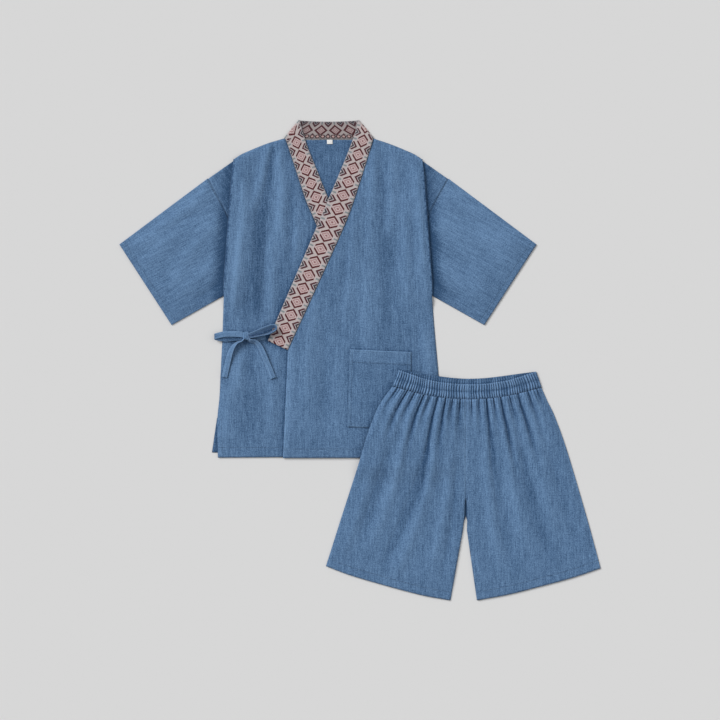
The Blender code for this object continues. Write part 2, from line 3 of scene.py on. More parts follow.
import bmesh
import bpy
import numpy as np
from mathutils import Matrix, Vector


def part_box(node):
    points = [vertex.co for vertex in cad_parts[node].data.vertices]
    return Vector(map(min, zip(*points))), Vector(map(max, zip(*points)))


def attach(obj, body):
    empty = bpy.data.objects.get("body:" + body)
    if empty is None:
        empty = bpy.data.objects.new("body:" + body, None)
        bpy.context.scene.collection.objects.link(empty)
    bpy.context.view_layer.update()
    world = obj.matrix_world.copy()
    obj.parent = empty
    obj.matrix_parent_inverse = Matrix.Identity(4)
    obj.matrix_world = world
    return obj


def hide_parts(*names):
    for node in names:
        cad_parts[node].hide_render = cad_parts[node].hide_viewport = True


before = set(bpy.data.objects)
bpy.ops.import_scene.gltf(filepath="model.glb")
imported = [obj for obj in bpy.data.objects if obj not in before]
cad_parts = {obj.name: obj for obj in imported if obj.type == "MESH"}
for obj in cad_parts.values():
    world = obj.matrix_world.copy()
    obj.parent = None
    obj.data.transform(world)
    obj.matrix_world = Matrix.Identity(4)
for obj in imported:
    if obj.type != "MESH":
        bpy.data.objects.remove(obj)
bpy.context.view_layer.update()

# ------------------------------------------------------------------ studio
# The set lies on a pale floor under soft light and is seen from straight above. The camera's long
# lens takes in a field a little wider than the set.
CAMERA_HEIGHT = 5.0
FIELD_WIDTH = 1.8
SENSOR_WIDTH = 36.0

camera_lens = bpy.data.cameras.new("camera")
camera_lens.sensor_width = SENSOR_WIDTH
camera_lens.lens = SENSOR_WIDTH * CAMERA_HEIGHT / FIELD_WIDTH
camera = bpy.data.objects.new("camera", camera_lens)
camera.location = (0.0, 0.0, CAMERA_HEIGHT)
bpy.context.scene.collection.objects.link(camera)
bpy.context.scene.camera = camera
bpy.context.scene.view_settings.view_transform = 'Standard'

# Name, way to the light, strength and spread in degrees
SUNS = [("key", (-0.60, 0.48, 0.60), 2.65, 34.0), ("fill", (0.70, 0.10, 0.70), 0.45, 60.0)]
for sun_name, toward, strength, spread in SUNS:
    sun = bpy.data.lights.new(sun_name, 'SUN')
    sun.energy = strength
    sun.angle = np.radians(spread)
    sun_object = bpy.data.objects.new(sun_name, sun)
    pitch = np.arctan2(np.hypot(toward[0], toward[1]), toward[2])
    sun_object.rotation_euler = (pitch, 0.0, np.arctan2(toward[0], -toward[1]))
    bpy.context.scene.collection.objects.link(sun_object)

world = bpy.data.worlds.new("soft_room")
world.use_nodes = True
room_light = world.node_tree.nodes["Background"].inputs
room_light["Color"].default_value = (1.0, 1.0, 1.0, 1.0)
room_light["Strength"].default_value = 0.35
bpy.context.scene.world = world

FLOOR_HALF = 9.0
FLOOR_DROP = 0.0003
floor_mesh = bpy.data.meshes.new("floor")
floor_corners = np.array([(-1, -1), (1, -1), (1, 1), (-1, 1)]) * FLOOR_HALF
floor_mesh.from_pydata([(x, y, -FLOOR_DROP) for x, y in floor_corners], [], [(0, 1, 2, 3)])
floor = bpy.data.objects.new("floor", floor_mesh)
bpy.context.scene.collection.objects.link(floor)
floor_paint = bpy.data.materials.new("floor_paint")
floor_paint.use_nodes = True
floor_surface = floor_paint.node_tree.nodes["Principled BSDF"].inputs
floor_surface["Base Color"].default_value = (0.7, 0.7, 0.7, 1.0)
floor_surface["Roughness"].default_value = 0.95
floor_surface["Specular IOR Level"].default_value = 0.0
floor.data.materials.append(floor_paint)


# ------------------------------------------------------------------ jacket back
# One piece of chambray from the shoulders to the hem. It lies on the surface; only its neck, the
# corners of its side slits and a sliver of its hem show. Its shader serves all the chambray.

def arithmetic(operation, reflected=False):
    """A method that adds one Math node, with its two sides swapped where it is reflected."""
    def method(wire, *other):
        values = (wire, *other)
        return wire.shader.math(operation, *(values[::-1] if reflected else values))
    return method


class Wire:
    """A number on a shader socket; arithmetic on it adds the Math node."""

    def __init__(self, shader, socket):
        self.shader = shader
        self.socket = socket

    __add__ = arithmetic('ADD')
    __radd__ = arithmetic('ADD', reflected=True)
    __sub__ = arithmetic('SUBTRACT')
    __rsub__ = arithmetic('SUBTRACT', reflected=True)
    __mul__ = arithmetic('MULTIPLY')
    __rmul__ = arithmetic('MULTIPLY', reflected=True)
    __mod__ = arithmetic('FLOORED_MODULO')
    __lt__ = arithmetic('LESS_THAN')
    __gt__ = arithmetic('GREATER_THAN')
    __abs__ = arithmetic('ABSOLUTE')


class Shader:
    """The nodes of one material, round its Principled surface."""

    def __init__(self, name, roughness, sheen):
        self.material = bpy.data.materials.new(name)
        self.material.use_nodes = True
        self.tree = self.material.node_tree
        self.surface = self.tree.nodes["Principled BSDF"]
        self.surface.inputs["Roughness"].default_value = roughness
        self.surface.inputs["Sheen Weight"].default_value = sheen
        self.surface.inputs["Specular IOR Level"].default_value = 0.2

    def put(self, socket, value):
        """Links a value that varies to a socket, or sets a constant on it."""
        value = value.socket if isinstance(value, Wire) else value
        if isinstance(value, bpy.types.NodeSocket):
            self.tree.links.new(value, socket)
        else:
            socket.default_value = value

    def node(self, kind, settings=None, values=None):
        """Adds a node: its settings first, then the values or links of its sockets."""
        made = self.tree.nodes.new(kind)
        for name, setting in (settings or {}).items():
            setattr(made, name, setting)
        for name, value in (values or {}).items():
            self.put(made.inputs[name], value)
        return made

    def math(self, operation, *values):
        """One Math node."""
        made = self.node('ShaderNodeMath', {"operation": operation}, dict(enumerate(values)))
        return Wire(self, made.outputs[0])

    def step(self, value, low, high):
        """0 below low, 1 above high, and smooth between; falls instead where low is above high."""
        ends = {"Value": value, "From Min": min(low, high), "From Max": max(low, high),
                "To Min": float(low > high), "To Max": float(low < high)}
        made = self.node('ShaderNodeMapRange', {"interpolation_type": 'SMOOTHSTEP'}, ends)
        return Wire(self, made.outputs["Result"])

    def channel(self, name):
        """A number stored on the mesh."""
        made = self.node('ShaderNodeAttribute', {"attribute_name": name})
        return Wire(self, made.outputs["Fac"])

    def cut_place(self):
        """Place on the cut cloth in metres: across the warp, and along it."""
        place = self.node('ShaderNodeUVMap', {"uv_map": "cut"}).outputs["UV"]
        parts = self.node('ShaderNodeSeparateXYZ', {}, {0: place})
        return Wire(self, parts.outputs[0]), Wire(self, parts.outputs[1])

    def noise(self, x, y, detail, layer=0.0):
        """Soft noise of unit scale at the given place; each layer is a different one."""
        place = self.node('ShaderNodeCombineXYZ', {}, {0: x, 1: y, 2: layer}).outputs[0]
        made = self.node('ShaderNodeTexNoise', {}, {"Vector": place, "Scale": 1.0, "Detail": detail,
                                                    "Roughness": 0.6})
        return Wire(self, made.outputs[0])

    def mix(self, factor, first, second):
        """Colour between two colours."""
        made = self.node('ShaderNodeMix', {"data_type": 'RGBA'}, {0: factor, 6: first, 7: second})
        return made.outputs[2]

    def bump(self, height, distance):
        """Raises the surface by a height of the given distance."""
        made = self.node('ShaderNodeBump', {}, {"Height": height, "Distance": distance,
                                                "Strength": 1.0})
        self.put(self.surface.inputs["Normal"], made.outputs[0])


INDIGO = (0.022, 0.064, 0.145, 1.0)
FADED = (0.158, 0.282, 0.475, 1.0)
TONE_MEAN = 1.575  # of the weighted noises
TONE_CONTRAST = 1.25
FOLD_SHADE = 0.16  # change of tone over a full fold
THREADS = 1250.0  # per metre
STITCH = 0.0032  # metres from one stitch to the next
THREAD_HALF = 0.0003
PUCKERS = 220.0  # per metre, beside a seam
PUCKER_REACH = 7.0  # in widths of the stitched line
MM = 0.001

# Noises of the cloth: spots per metre across and along the warp, detail, layer, and the weight in
# the tone and in the height
CLOTH_NOISES = {
    "streak": (400.0, 42.0, 2.0, 1.7, 0.70, 0.5), "long streak": (170.0, 9.0, 1.0, 5.7, 0.25, 0.0),
    "weft": (70.0, 420.0, 2.0, 7.3, 0.40, 0.3), "grain": (430.0, 300.0, 2.0, 4.1, 1.20, 0.8),
    "fine": (1500.0, 1300.0, 1.0, 9.2, 0.35, 0.0), "blotch": (14.0, 6.0, 2.0, 2.9, 0.25, 0.0),
}


def chambray(name, seams=(), shade=0.0):
    """Slubbed chambray: streaks along the warp, weft slubs, a fine grain and slow blotches.

    seams holds (channel, distance, width, way) of each stitched line, in millimetres. There the
    cloth dips and darkens, puckers to both sides, and carries stitches spaced along x or y. shade
    darkens it all; a negative shade lightens it. The fold channel on the mesh paints shade and
    highlight into the colour: darker in troughs and beside what lies on the cloth, lighter on ridges.
    """
    cloth = Shader(name, 0.9, 0.12)
    x, y = cloth.cut_place()
    noises = {name: cloth.noise(x * across, y * along, detail, layer)
              for name, (across, along, detail, layer, *_) in CLOTH_NOISES.items()}
    slub = cloth.step(noises["streak"], 0.60, 0.72)
    tone = slub * 0.10 + sum(noises[name] * row[4] for name, row in CLOTH_NOISES.items())
    # Painted shade and highlight: the fold channel darkens troughs and the cloth beside pieces that lie on
    # it, and lightens ridges and raised edges.
    tone = (tone - TONE_MEAN) * TONE_CONTRAST + 0.5 - shade + cloth.channel("fold") * FOLD_SHADE
    warp_thread = cloth.math('SINE', x * (THREADS * 2 * np.pi))
    weft_thread = cloth.math('SINE', y * (THREADS * 2 * np.pi))
    height = slub * 0.4 + sum(noises[name] * row[5] for name, row in CLOTH_NOISES.items() if row[5])
    height = height + warp_thread * weft_thread * 0.12
    for channel, distance, width, way in seams:
        off = abs(cloth.channel(channel) - distance * MM)
        dip = cloth.step(off, width * MM, 0.0)
        near = cloth.step(off, PUCKER_REACH * width * MM, 0.0)
        pucker = cloth.noise(x * PUCKERS, y * PUCKERS, 1.0, distance * 0.09) - 0.5
        place = {"x": x, "y": y}[way]
        thread = cloth.step(abs(place % STITCH - STITCH / 2), 0.42 * STITCH, 0.36 * STITCH)
        thread = thread * cloth.step(off, 2 * THREAD_HALF, THREAD_HALF)
        tone = tone - dip * 0.20 + near * pucker * 0.45 + thread * 0.34
        height = height - dip * 2.0 + near * pucker * 2.2 + thread * 1.2
    cloth.put(cloth.surface.inputs["Base Color"], cloth.mix(tone, INDIGO, FADED))
    cloth.bump(height, 0.0004)
    return cloth.material


CLOTH = 1.2  # single cloth, in millimetres like every size of the pieces
DOUBLE = 2.4  # bands, folded double
AIR = 0.6  # between two layers
SEAM = 0.3  # what a sewn edge stands off its seam line
LAYER = CLOTH + AIR
DOUBLE_LAYER = DOUBLE + AIR
TURN = 4.0  # from an edge that is folded over to where the cloth lies flat again
TURN_OF = {"upper": 1.0, "left": 1.0, "under": -1.0, "right": -1.0}  # the way that x runs outwards

# The jacket's own frame starts at the middle of its hem; the tag is sewn at a known place in it.
TAG_MIDDLE = np.array([4.5, 789.0])
tag_box = np.array(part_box("size_tag")) / MM
JACKET_AT = tag_box.mean(axis=0)[:2] - TAG_MIDDLE


def ease(value):
    """Smooth step from 0 to 1."""
    value = np.clip(value, 0, 1)
    return value * value * (3 - 2 * value)


def bell(distance, width):
    """1 on a line, falling off on both sides: e to the minus square of the distance in widths."""
    return np.exp(-(distance / width) ** 2)


def spaced(points, count):
    """Evenly spaced points along the straight runs between the given ones."""
    points = np.array(points, float)
    run = np.r_[0, np.cumsum(np.linalg.norm(np.diff(points, axis=0), axis=1))]
    at = np.linspace(0, run[-1], count)
    return np.column_stack([np.interp(at, run, column) for column in points.T])


def smooth(points, count):
    """Evenly spaced points along a Catmull-Rom curve through the given ones."""
    given = np.array(points, float)
    padded = np.vstack([2 * given[0] - given[1], given, 2 * given[-1] - given[-2]])
    step = np.linspace(0, 1, 13)[:-1, None]
    spans = []
    for before, start, end, after in zip(padded, padded[1:], padded[2:], padded[3:]):
        spans.append(start + 0.5 * step * (end - before)
                     + 0.5 * step ** 2 * (2 * before - 5 * start + 4 * end - after)
                     + 0.5 * step ** 3 * (3 * start - before - 3 * end + after))
    return spaced(np.vstack(spans + [given[-1:]]), count)


def patch(foot, top, inner, outer):
    """Coons patch: the mean of the two ruled surfaces between opposite edges, less the corners'."""
    across = np.linspace(0, 1, len(foot))[None, :, None]
    up = np.linspace(0, 1, len(inner))[:, None, None]
    corners = ((1 - across) * (1 - up) * foot[0] + across * (1 - up) * foot[-1]
               + (1 - across) * up * top[0] + across * up * top[-1])
    return ((1 - up) * foot[None] + up * top[None]
            + (1 - across) * inner[:, None] + across * outer[:, None] - corners)


def away_from(points, line, closed=False):
    """Distance from each point to a line of straight runs."""
    flat = points.reshape(-1, 1, 2)
    line = np.array(line, float)
    start = line[None] if closed else line[None, :-1]
    end = np.roll(line, -1, axis=0)[None] if closed else line[None, 1:]
    edge = end - start
    length = np.maximum((edge ** 2).sum(2), 0.0001)
    along = np.clip(((flat - start) * edge).sum(2) / length, 0, 1)
    away = np.linalg.norm(flat - start - along[..., None] * edge, axis=2).min(axis=1)
    return away.reshape(points.shape[:-1])


def beyond(points, outline):
    """Distance from each point to a closed outline, negative inside it."""
    flat = points.reshape(-1, 1, 2)
    start = np.array(outline, float)[None]
    end = np.roll(start, -1, axis=1)
    edge = end - start
    level = (start[..., 1] > flat[..., 1]) != (end[..., 1] > flat[..., 1])
    height = np.where(edge[..., 1] == 0, 1.0, edge[..., 1])
    crossing = start[..., 0] + (flat[..., 1] - start[..., 1]) * edge[..., 0] / height
    inside = (level & (flat[..., 0] < crossing)).sum(axis=1) % 2 == 1
    inside = inside.reshape(points.shape[:-1])
    away = away_from(points, outline, closed=True)
    return np.where(inside, -away, away)


def rise(points, outline, run=45.0, margin=8.0):
    """1 over the outline and a margin round it, easing to 0 over the run beyond."""
    return 1 - ease((beyond(points, outline) - margin) / run)


def raised(flat, height):
    """Puts a height on each flat point."""
    return np.concatenate([flat, np.broadcast_to(height, flat.shape[:-1])[..., None]], axis=-1)


def bend(edge, out, low, half, steps, rising=False):
    """Half circle of cloth from one layer down round its edge to the layer below, or back up.

    A station is the edge moved out by half the drop times the sine of its angle, at the lower
    height plus half the drop times one more than the cosine.
    """
    angles = np.radians(np.linspace(0, 180, steps))[1:-1]
    half = np.broadcast_to(half, edge.shape[:-1])
    stations = [raised(edge + out * (half * np.sin(angle))[:, None], low + half * (1 + np.cos(angle)))
                for angle in (angles[::-1] if rising else angles)]
    return np.stack(stations, axis=1)


def ruled(first, last, count):
    """Straight from each point of one line to its point on the other, in even steps."""
    return first[:, None] + np.linspace(0, 1, count)[:, None] * (last - first)[:, None]


def run_along(points, axis):
    """Distance covered from the start along one axis of a grid."""
    steps = np.diff(points, axis=axis, prepend=np.take(points, [0], axis=axis))
    return np.cumsum(np.linalg.norm(steps, axis=-1), axis=axis)


def paired(across, along):
    """Place on the cut cloth from its two distances."""
    return np.stack(np.broadcast_arrays(across, along), axis=-1)


def mirrored(points):
    """The other half of a garment, with x turned round."""
    return np.array(points, float) * (-1.0, 1.0)


def creases(points, table):
    """Sum of soft ridges and troughs: each is a bell across its line that fades at both ends.

    A row holds the line's two ends, its half width and its height, negative for a trough.
    """
    total = np.zeros(points.shape[:-1])
    for x0, y0, x1, y1, width, height in table:
        start = np.array([x0, y0])
        edge = np.array([x1, y1]) - start
        share = ((points - start) * edge).sum(-1) / (edge ** 2).sum()
        side = ((points - start) * (-edge[1], edge[0])).sum(-1) / np.linalg.norm(edge)
        side = side + 0.18 * width * np.sin(5.0 * share + x0)
        fade = ease((share + 0.18) / 0.36) * ease((1.18 - share) / 0.36)
        total += height * fade * bell(side, width)
    return total


def cloth_mesh(name, grids):
    """One mesh from grids of named arrays; corners that meet are merged, their cut kept apart."""
    points, cut, faces, channels = [], [], [], {}
    count = 0
    for grid in grids:
        rows, columns = grid["points"].shape[:2]
        row, column = np.mgrid[0:rows - 1, 0:columns - 1]
        first = count + row * columns + column
        corners = [first, first + 1, first + columns + 1, first + columns]
        faces.append(np.stack(corners, axis=-1).reshape(-1, 4))
        points.append(grid["points"].reshape(-1, 3) * MM)
        cut.append(grid["cut"].reshape(-1, 2) * MM)
        for channel in [name for name in grid if name not in ("points", "cut")]:
            unit = 1.0 if channel in ("fold", "behind") else MM
            channels.setdefault(channel, []).append(grid[channel].reshape(-1) * unit)
        count += rows * columns
    mesh = bpy.data.meshes.new(name)
    faces = np.vstack(faces)
    mesh.from_pydata(np.vstack(points), [], faces)
    layer = mesh.uv_layers.new(name="cut")
    layer.data.foreach_set("uv", np.vstack(cut)[faces.reshape(-1)].astype(np.float32).reshape(-1))
    for channel, values in channels.items():
        stored = mesh.attributes.new(channel, 'FLOAT', 'POINT')
        stored.data.foreach_set("value", np.concatenate(values).astype(np.float32))
    shape = bmesh.new()
    shape.from_mesh(mesh)
    bmesh.ops.remove_doubles(shape, verts=shape.verts, dist=0.00002)
    bmesh.ops.recalc_face_normals(shape, faces=shape.faces)
    shape.to_mesh(mesh)
    shape.free()
    mesh.shade_smooth()
    return mesh


def cloth_piece(name, node, grids, wall, place, material, even=True):
    """A named wall of cloth through the grids, put at its place, for a solid of the frame."""
    for grid in grids:
        grid["points"] = grid["points"] + (*place, 0.0)
    piece = bpy.data.objects.new(name, cloth_mesh(name, grids))
    bpy.context.scene.collection.objects.link(piece)
    piece.data.materials.append(material)
    thick = piece.modifiers.new("wall", 'SOLIDIFY')
    thick.thickness = wall * MM
    thick.offset = 0
    thick.use_even_offset = even
    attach(piece, "root")
    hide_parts(node)
    return piece


# Jacket sizes, half by half: x is measured outwards from the centre line.
NECK_POINT = {"upper": (113, 797), "under": (107.5, 797.5)}
SHOULDER = [(145, 787), (178, 774.5), (214, 758.5)]
PLEAT_TOP = (235, 745)
SHOULDER_DROP = (300, 696)
ARMHOLE_MIDDLE = (243, 586)
UNDERARM = (200, 440)
ARMPIT = (260, 407)
SLIT_TOP = 90.0
LAP_TOP = 268.5  # where the neck band begins
SIDE_COLUMNS = ("height", "upper", "under")
SIDE = [(0, 279, 275), (90, 279.5, 276.5), (150, 279, 271),
        (203, 276.5, 268.5), (292, 268.5, 264), (350, 263.5, 262), (407, 260, 260)]
LAP = {"upper": [(-112.5, -1), (-100.2, LAP_TOP)], "under": [(-112, 3), (-100, LAP_TOP)]}
SEWN_EDGE = {"upper": [(-100.2, LAP_TOP), (11.2, 511.5), (52.5, 607), (84, 700), (110.5, 786)],
             "under": [(-100, LAP_TOP), (27.2, 577), (52.8, 636), (73.2, 696.5), (100.5, 779.5)]}
FREE_EDGE = {"upper": [(-150.2, 292), (1.5, 645.5), (62.2, 794.8), (75, 842.5)],
             "under": [(-150.2, 292), (-1.5, 645.5), (24, 709), (52.5, 780), (70.5, 842.5)]}
BACK_NECK = 795.0
OPENING_FOOT = 480.0  # of the V that the two laps leave open
SLIT_INNER = 250.0  # nearest place to the centre that a slit's corner shows
HEM_STITCH = 22.0
SLIT_STITCH = 12.0
TOPSTITCH = 2.0  # from a seam or an edge
BACK_FOOT = [(-289.8, 13), (0, 2), (291, 12)]


def side_edge(lap, count):
    """Side edge from the hem to the armpit, x outwards."""
    column = SIDE_COLUMNS.index(lap)
    return smooth([(row[column], row[0]) for row in SIDE], count)


def armhole(count):
    """Armhole seam from the underarm up to the dropped shoulder."""
    return smooth([UNDERARM, ARMHOLE_MIDDLE, SHOULDER_DROP], count)


def back_shade(x, y):
    """Shade on the back: in the neck opening, deepest down its V, and at the slits' corners."""
    opening = ease((y - OPENING_FOOT) / 80)
    painted_shading = 1.2 + 2.6 * ease(np.hypot(x, y - BACK_NECK) / 160 - 0.45)
    at_slit = ease((SLIT_TOP + 60 - y) / 60) * ease((np.abs(x) - SLIT_INNER) / 20)
    return -opening * painted_shading - 2.2 * at_slit


def back_grid():
    """Back panel in level rows: each row runs between the two edges at its height."""
    inset = TURN + 1.4
    edges = []
    for lap in ("upper", "under"):
        slit_foot = SIDE[1][SIDE_COLUMNS.index(lap)] + 0.5
        side = side_edge(lap, 40)
        outer = [(290.0, 0.0), (slit_foot, SLIT_TOP)]
        outer += [(x - inset, y) for x, y in side if SLIT_TOP + 4 < y < ARMPIT[1] - 6]
        outer += [(ARMPIT[0] - inset, ARMPIT[1] - 3.0), (UNDERARM[0] - 2 * SEAM, UNDERARM[1] - 3.0)]
        outer += [(x - 2 * SEAM, y) for x, y in armhole(12)[1:-1]]
        outer += [(x - 0.7 * inset, y - inset) for x, y in [SHOULDER_DROP, PLEAT_TOP] + SHOULDER[::-1]]
        outer += [(NECK_POINT[lap][0] + 2, BACK_NECK - 5), (NECK_POINT[lap][0] - 40, BACK_NECK - 1)]
        edges.append(np.array(outer))
    levels = np.linspace(0, BACK_NECK - 1, 200)[:, None]
    left, right = (np.interp(levels, edge[:, 1], edge[:, 0]) for edge in edges[::-1])
    share = np.linspace(0, 1, 130)[None]
    x = share * right - (1 - share) * left
    foot_y = np.interp(x, *np.array(BACK_FOOT).T)
    flat = np.stack([x, levels + foot_y * (1 - levels / BACK_NECK)], axis=-1)
    slit = np.minimum(np.abs(x + left), np.abs(x - right)) + 40 * ease((levels - SLIT_TOP) / 20)
    hem = np.broadcast_to(levels, x.shape)
    return {"points": raised(flat, CLOTH / 2), "cut": flat, "hem": hem, "slit": slit,
            "fold": back_shade(x, levels)}


inside = chambray("chambray_inside", [("hem", HEM_STITCH, 1.3, "x"), ("slit", SLIT_STITCH, 0.9, "y")])
back = cloth_piece("back", "jacket_back", [back_grid()], CLOTH, JACKET_AT, inside,
                   even=False)

# ------------------------------------------------------------------ jacket fronts
# Two fronts that lap, left over right, each with its dropped shoulder folded under in a pleat at
# the armhole as the sleeve is drawn down. Hems are turned up and stitched; the lap edge too.
# Creases are rows of x and y of both ends, half width and height, negative for a trough.
FRONT_CREASES = {
    "upper": [(112, 740, 104, 520, 12, 2.6), (134, 760, 142, 480, 11, -2.2),
              (160, 745, 158, 560, 14, 2.2), (70, 600, 30, 330, 15, 2.6), (48, 545, 30, 300, 12, -2.4),
              (100, 500, 96, 250, 16, 1.8), (155, 545, 150, 250, 18, -2.4), (196, 640, 200, 380, 16, 2.4),
              (222, 700, 236, 460, 12, 2.8), (205, 620, 214, 420, 11, -1.6), (-40, 400, -58, 120, 16, 2.0),
              (-10, 330, -14, 60, 14, -1.6), (30, 280, 26, 40, 18, 1.4), (240, 330, 252, 150, 12, 2.0),
              (226, 340, 234, 200, 10, -1.4), (88, 786, 92, 690, 7, 1.4)],
    "under": [(118, 775, 124, 560, 9, 2.8), (134, 782, 160, 610, 9, -3.0), (150, 778, 186, 620, 12, 2.6),
              (108, 700, 112, 520, 12, 2.0), (92, 700, 96, 480, 10, -1.8), (78, 620, 70, 430, 12, 2.2),
              (170, 640, 172, 330, 17, -3.4), (206, 700, 226, 420, 13, 3.2), (222, 560, 236, 360, 10, 2.4),
              (140, 560, 140, 340, 14, 2.2), (118, 470, 122, 330, 10, -1.6), (196, 470, 204, 330, 10, -1.6),
              (240, 330, 216, 306, 7, 2.2), (248, 296, 220, 303, 6, -1.6), (180, 322, 150, 350, 8, 1.6),
              (196, 288, 190, 200, 13, -2.2), (168, 276, 150, 190, 12, 1.8), (232, 268, 240, 150, 14, 1.8),
              (214, 286, 222, 170, 9, 1.6), (140, 220, 136, 60, 16, 1.6), (196, 190, 200, 50, 18, -1.4),
              (250, 130, 256, 40, 12, 1.4)],
}
# What lies on the fronts shades them: the pocket, the bow, whose tapes run through rows of x, y, z
# and roll, and the shorts, whose own frame starts at the foot of the inseams.
POCKET = [(48.5, 76.5), (204.5, 71), (208.5, 263.8), (54, 270.5)]
leg_boxes = {side: np.array(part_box("shorts_leg_" + side)) / MM for side in ("left", "right")}
SHORTS_AT = np.array([(leg_boxes["left"][0][0] + leg_boxes["right"][1][0]) / 2, leg_boxes["left"][0][1]])
WAIST_TOP = [(-168.5, 575.8), (-85, 549), (4, 540), (92, 547), (173.8, 571)]
WAIST_BACK = [(-168.5, 575.8), (4, 553.5), (173.8, 571)]
WAIST_FOOT = [(-182.5, 534.8), (-90, 511), (4, 502), (96, 509), (187.5, 532)]
LEG_OUTER = {"right": [(182.5, 534), (206.5, 502), (222.5, 474), (244.5, 416),
                       (272.5, 322.2), (309.5, 206.8), (348.2, 84.8)],
             "left": [(187.5, 531), (203, 496), (220, 461), (250, 377.8),
                      (291.5, 239), (316, 152), (335.4, 79.5)]}
LEG_HEM = {"right": [(38.8, 0), (110, 12.8), (201.8, 37), (288.5, 62.5), (348.2, 84.8)],
           "left": [(28, 0), (105, 14), (180.5, 33), (262, 55), (335.4, 79.5)]}
OUTER_FOLD = [ARMPIT, PLEAT_TOP]  # of the pleat at the armhole
LAP_STITCH = 5.0
FAR = 400.0  # from a seam that a piece doesn't reach
SWELL = 1.6  # the cloth's lift off the layer below, which the troughs dip into
KNOT_MIDDLE = np.array([-204.5, 303.8, 8.0])
TIE_WIDTH = 14.0
TIES = {
    "tie_strand_front": [(-192.6, 300.5, 4.4, 4), (-180, 299.5, 4.4, 4), (-167, 300, 4.4, 4),
                         (-156, 303, 4.4, 4)],
    "tie_strand_side": [(-216, 303, 4.3, 0), (-236, 303, 4.3, 0), (-256, 302, 4.3, 0)],
    "bow_loop_left": [(-216.5, 307.5, 10, 6), (-236, 309, 11, 10), (-258, 308.5, 10.8, 8),
                      (-276, 304.5, 10.2, 4), (-283, 302, 8.6, 0), (-276, 299.5, 7, -3),
                      (-258, 297, 6.6, -4), (-236, 298.5, 6.8, -3), (-216.5, 300.5, 6.9, 0)],
    "bow_loop_right": [(-192.5, 306.5, 11, 40), (-174, 314, 12.2, 40), (-152, 323.5, 13.6, 42),
                       (-136, 328.5, 14.4, 50), (-129.5, 325, 14.6, 62), (-133, 318, 14.4, 70),
                       (-150, 309.5, 13.4, 76), (-172, 304.5, 13.2, 80), (-191.5, 301, 13, 80)],
    "bow_end_left": [(-214.5, 292, 11.4, 78), (-226, 287.5, 11.2, 70), (-236.5, 277, 10.2, 46),
                     (-243.5, 262, 8.4, 26), (-249, 242, 6.2, 12), (-254, 221, 5, 5),
                     (-258.5, 200.5, 4.6, 3)],
    "bow_end_right": [(-193.5, 291.5, 10.4, 58), (-181.5, 289.5, 9.8, 48), (-171, 279.5, 8.6, 32),
                      (-161.5, 260, 6.8, 18), (-152, 237, 5.2, 8), (-144, 217, 4.7, 4),
                      (-136.8, 198, 4.5, 3)],
}


def lap_outline(lap, with_band):
    """Outline of one front, with or without its stretch of the neck band, x outwards."""
    edge = FREE_EDGE[lap] if with_band else SEWN_EDGE[lap]
    return np.vstack([LAP[lap], spaced(edge, 12), [NECK_POINT[lap]], SHOULDER,
                      [PLEAT_TOP], side_edge(lap, 12)[::-1]])


def sewn_edge(lap, count):
    """Edge of a front that the neck band is sewn to, up to the neck point."""
    return smooth(SEWN_EDGE[lap] + [NECK_POINT[lap]], count)


def band_outline(lap):
    """Outline of the neck band's stretch along one lap, x outwards."""
    return np.vstack([sewn_edge(lap, 14), smooth(FREE_EDGE[lap], 14)[::-1]])


def height_in_front(points, lap):
    """Lowest height of what lies on the back panel, at points of the jacket's frame."""
    pleat = np.array([PLEAT_TOP, ARMPIT, UNDERARM], float)
    height = LAYER + 2 * LAYER * (rise(points, pleat) + rise(points, mirrored(pleat)))
    if lap == "upper":
        height += LAYER * rise(points, mirrored(lap_outline("under", True)))
        height += (DOUBLE - CLOTH) * rise(points, mirrored(band_outline("under")))
    return height


def front_lift(flat, lap):
    """Lift of a front by its creases, none at its edges, at points with x outwards."""
    inside_by = -beyond(flat, lap_outline(lap, False))
    roll = 4.5 * bell(away_from(flat, OUTER_FOLD), 26.0)
    roll = roll * ease((flat[..., 1] - ARMPIT[1] + 12) / 60)
    roll = roll * ease((PLEAT_TOP[1] + 7 - flat[..., 1]) / 60)
    lift = np.maximum(SWELL + creases(flat, FRONT_CREASES[lap]), 0.0)
    lift = lift * ease(inside_by / 14) * ease((flat[..., 1] - 6) / 60)
    if lap == "under":
        lift = lift * (1 - rise(flat, mirrored(lap_outline("upper", True)), 22.0, 8.0))
        bow = mirrored(KNOT_MIDDLE[:2])
        lift = lift * ease(np.linalg.norm(flat - bow, axis=-1) / 45 - 0.6)
    return lift + roll


def beside(points, outline, width, closed=True):
    """1 at an outline's edge, fading over the width outside it: the shade that a layer casts."""
    off = beyond(points, outline) if closed else away_from(points, outline)
    return np.exp(-np.maximum(off, 0) / width) * (off > -width)


def shorts_shade(flat):
    """Shade that the shorts cast beside their waistband and right leg, 1 or more at their edge."""
    waist = np.array(WAIST_TOP[:3] + WAIST_FOOT[:1]) + SHORTS_AT - JACKET_AT
    leg = mirrored(LEG_OUTER["right"]) + SHORTS_AT - JACKET_AT
    return (1.4 * beside(flat, waist, 11.0, closed=False)
            + 1.7 * beside(flat, leg, 15.0, closed=False))


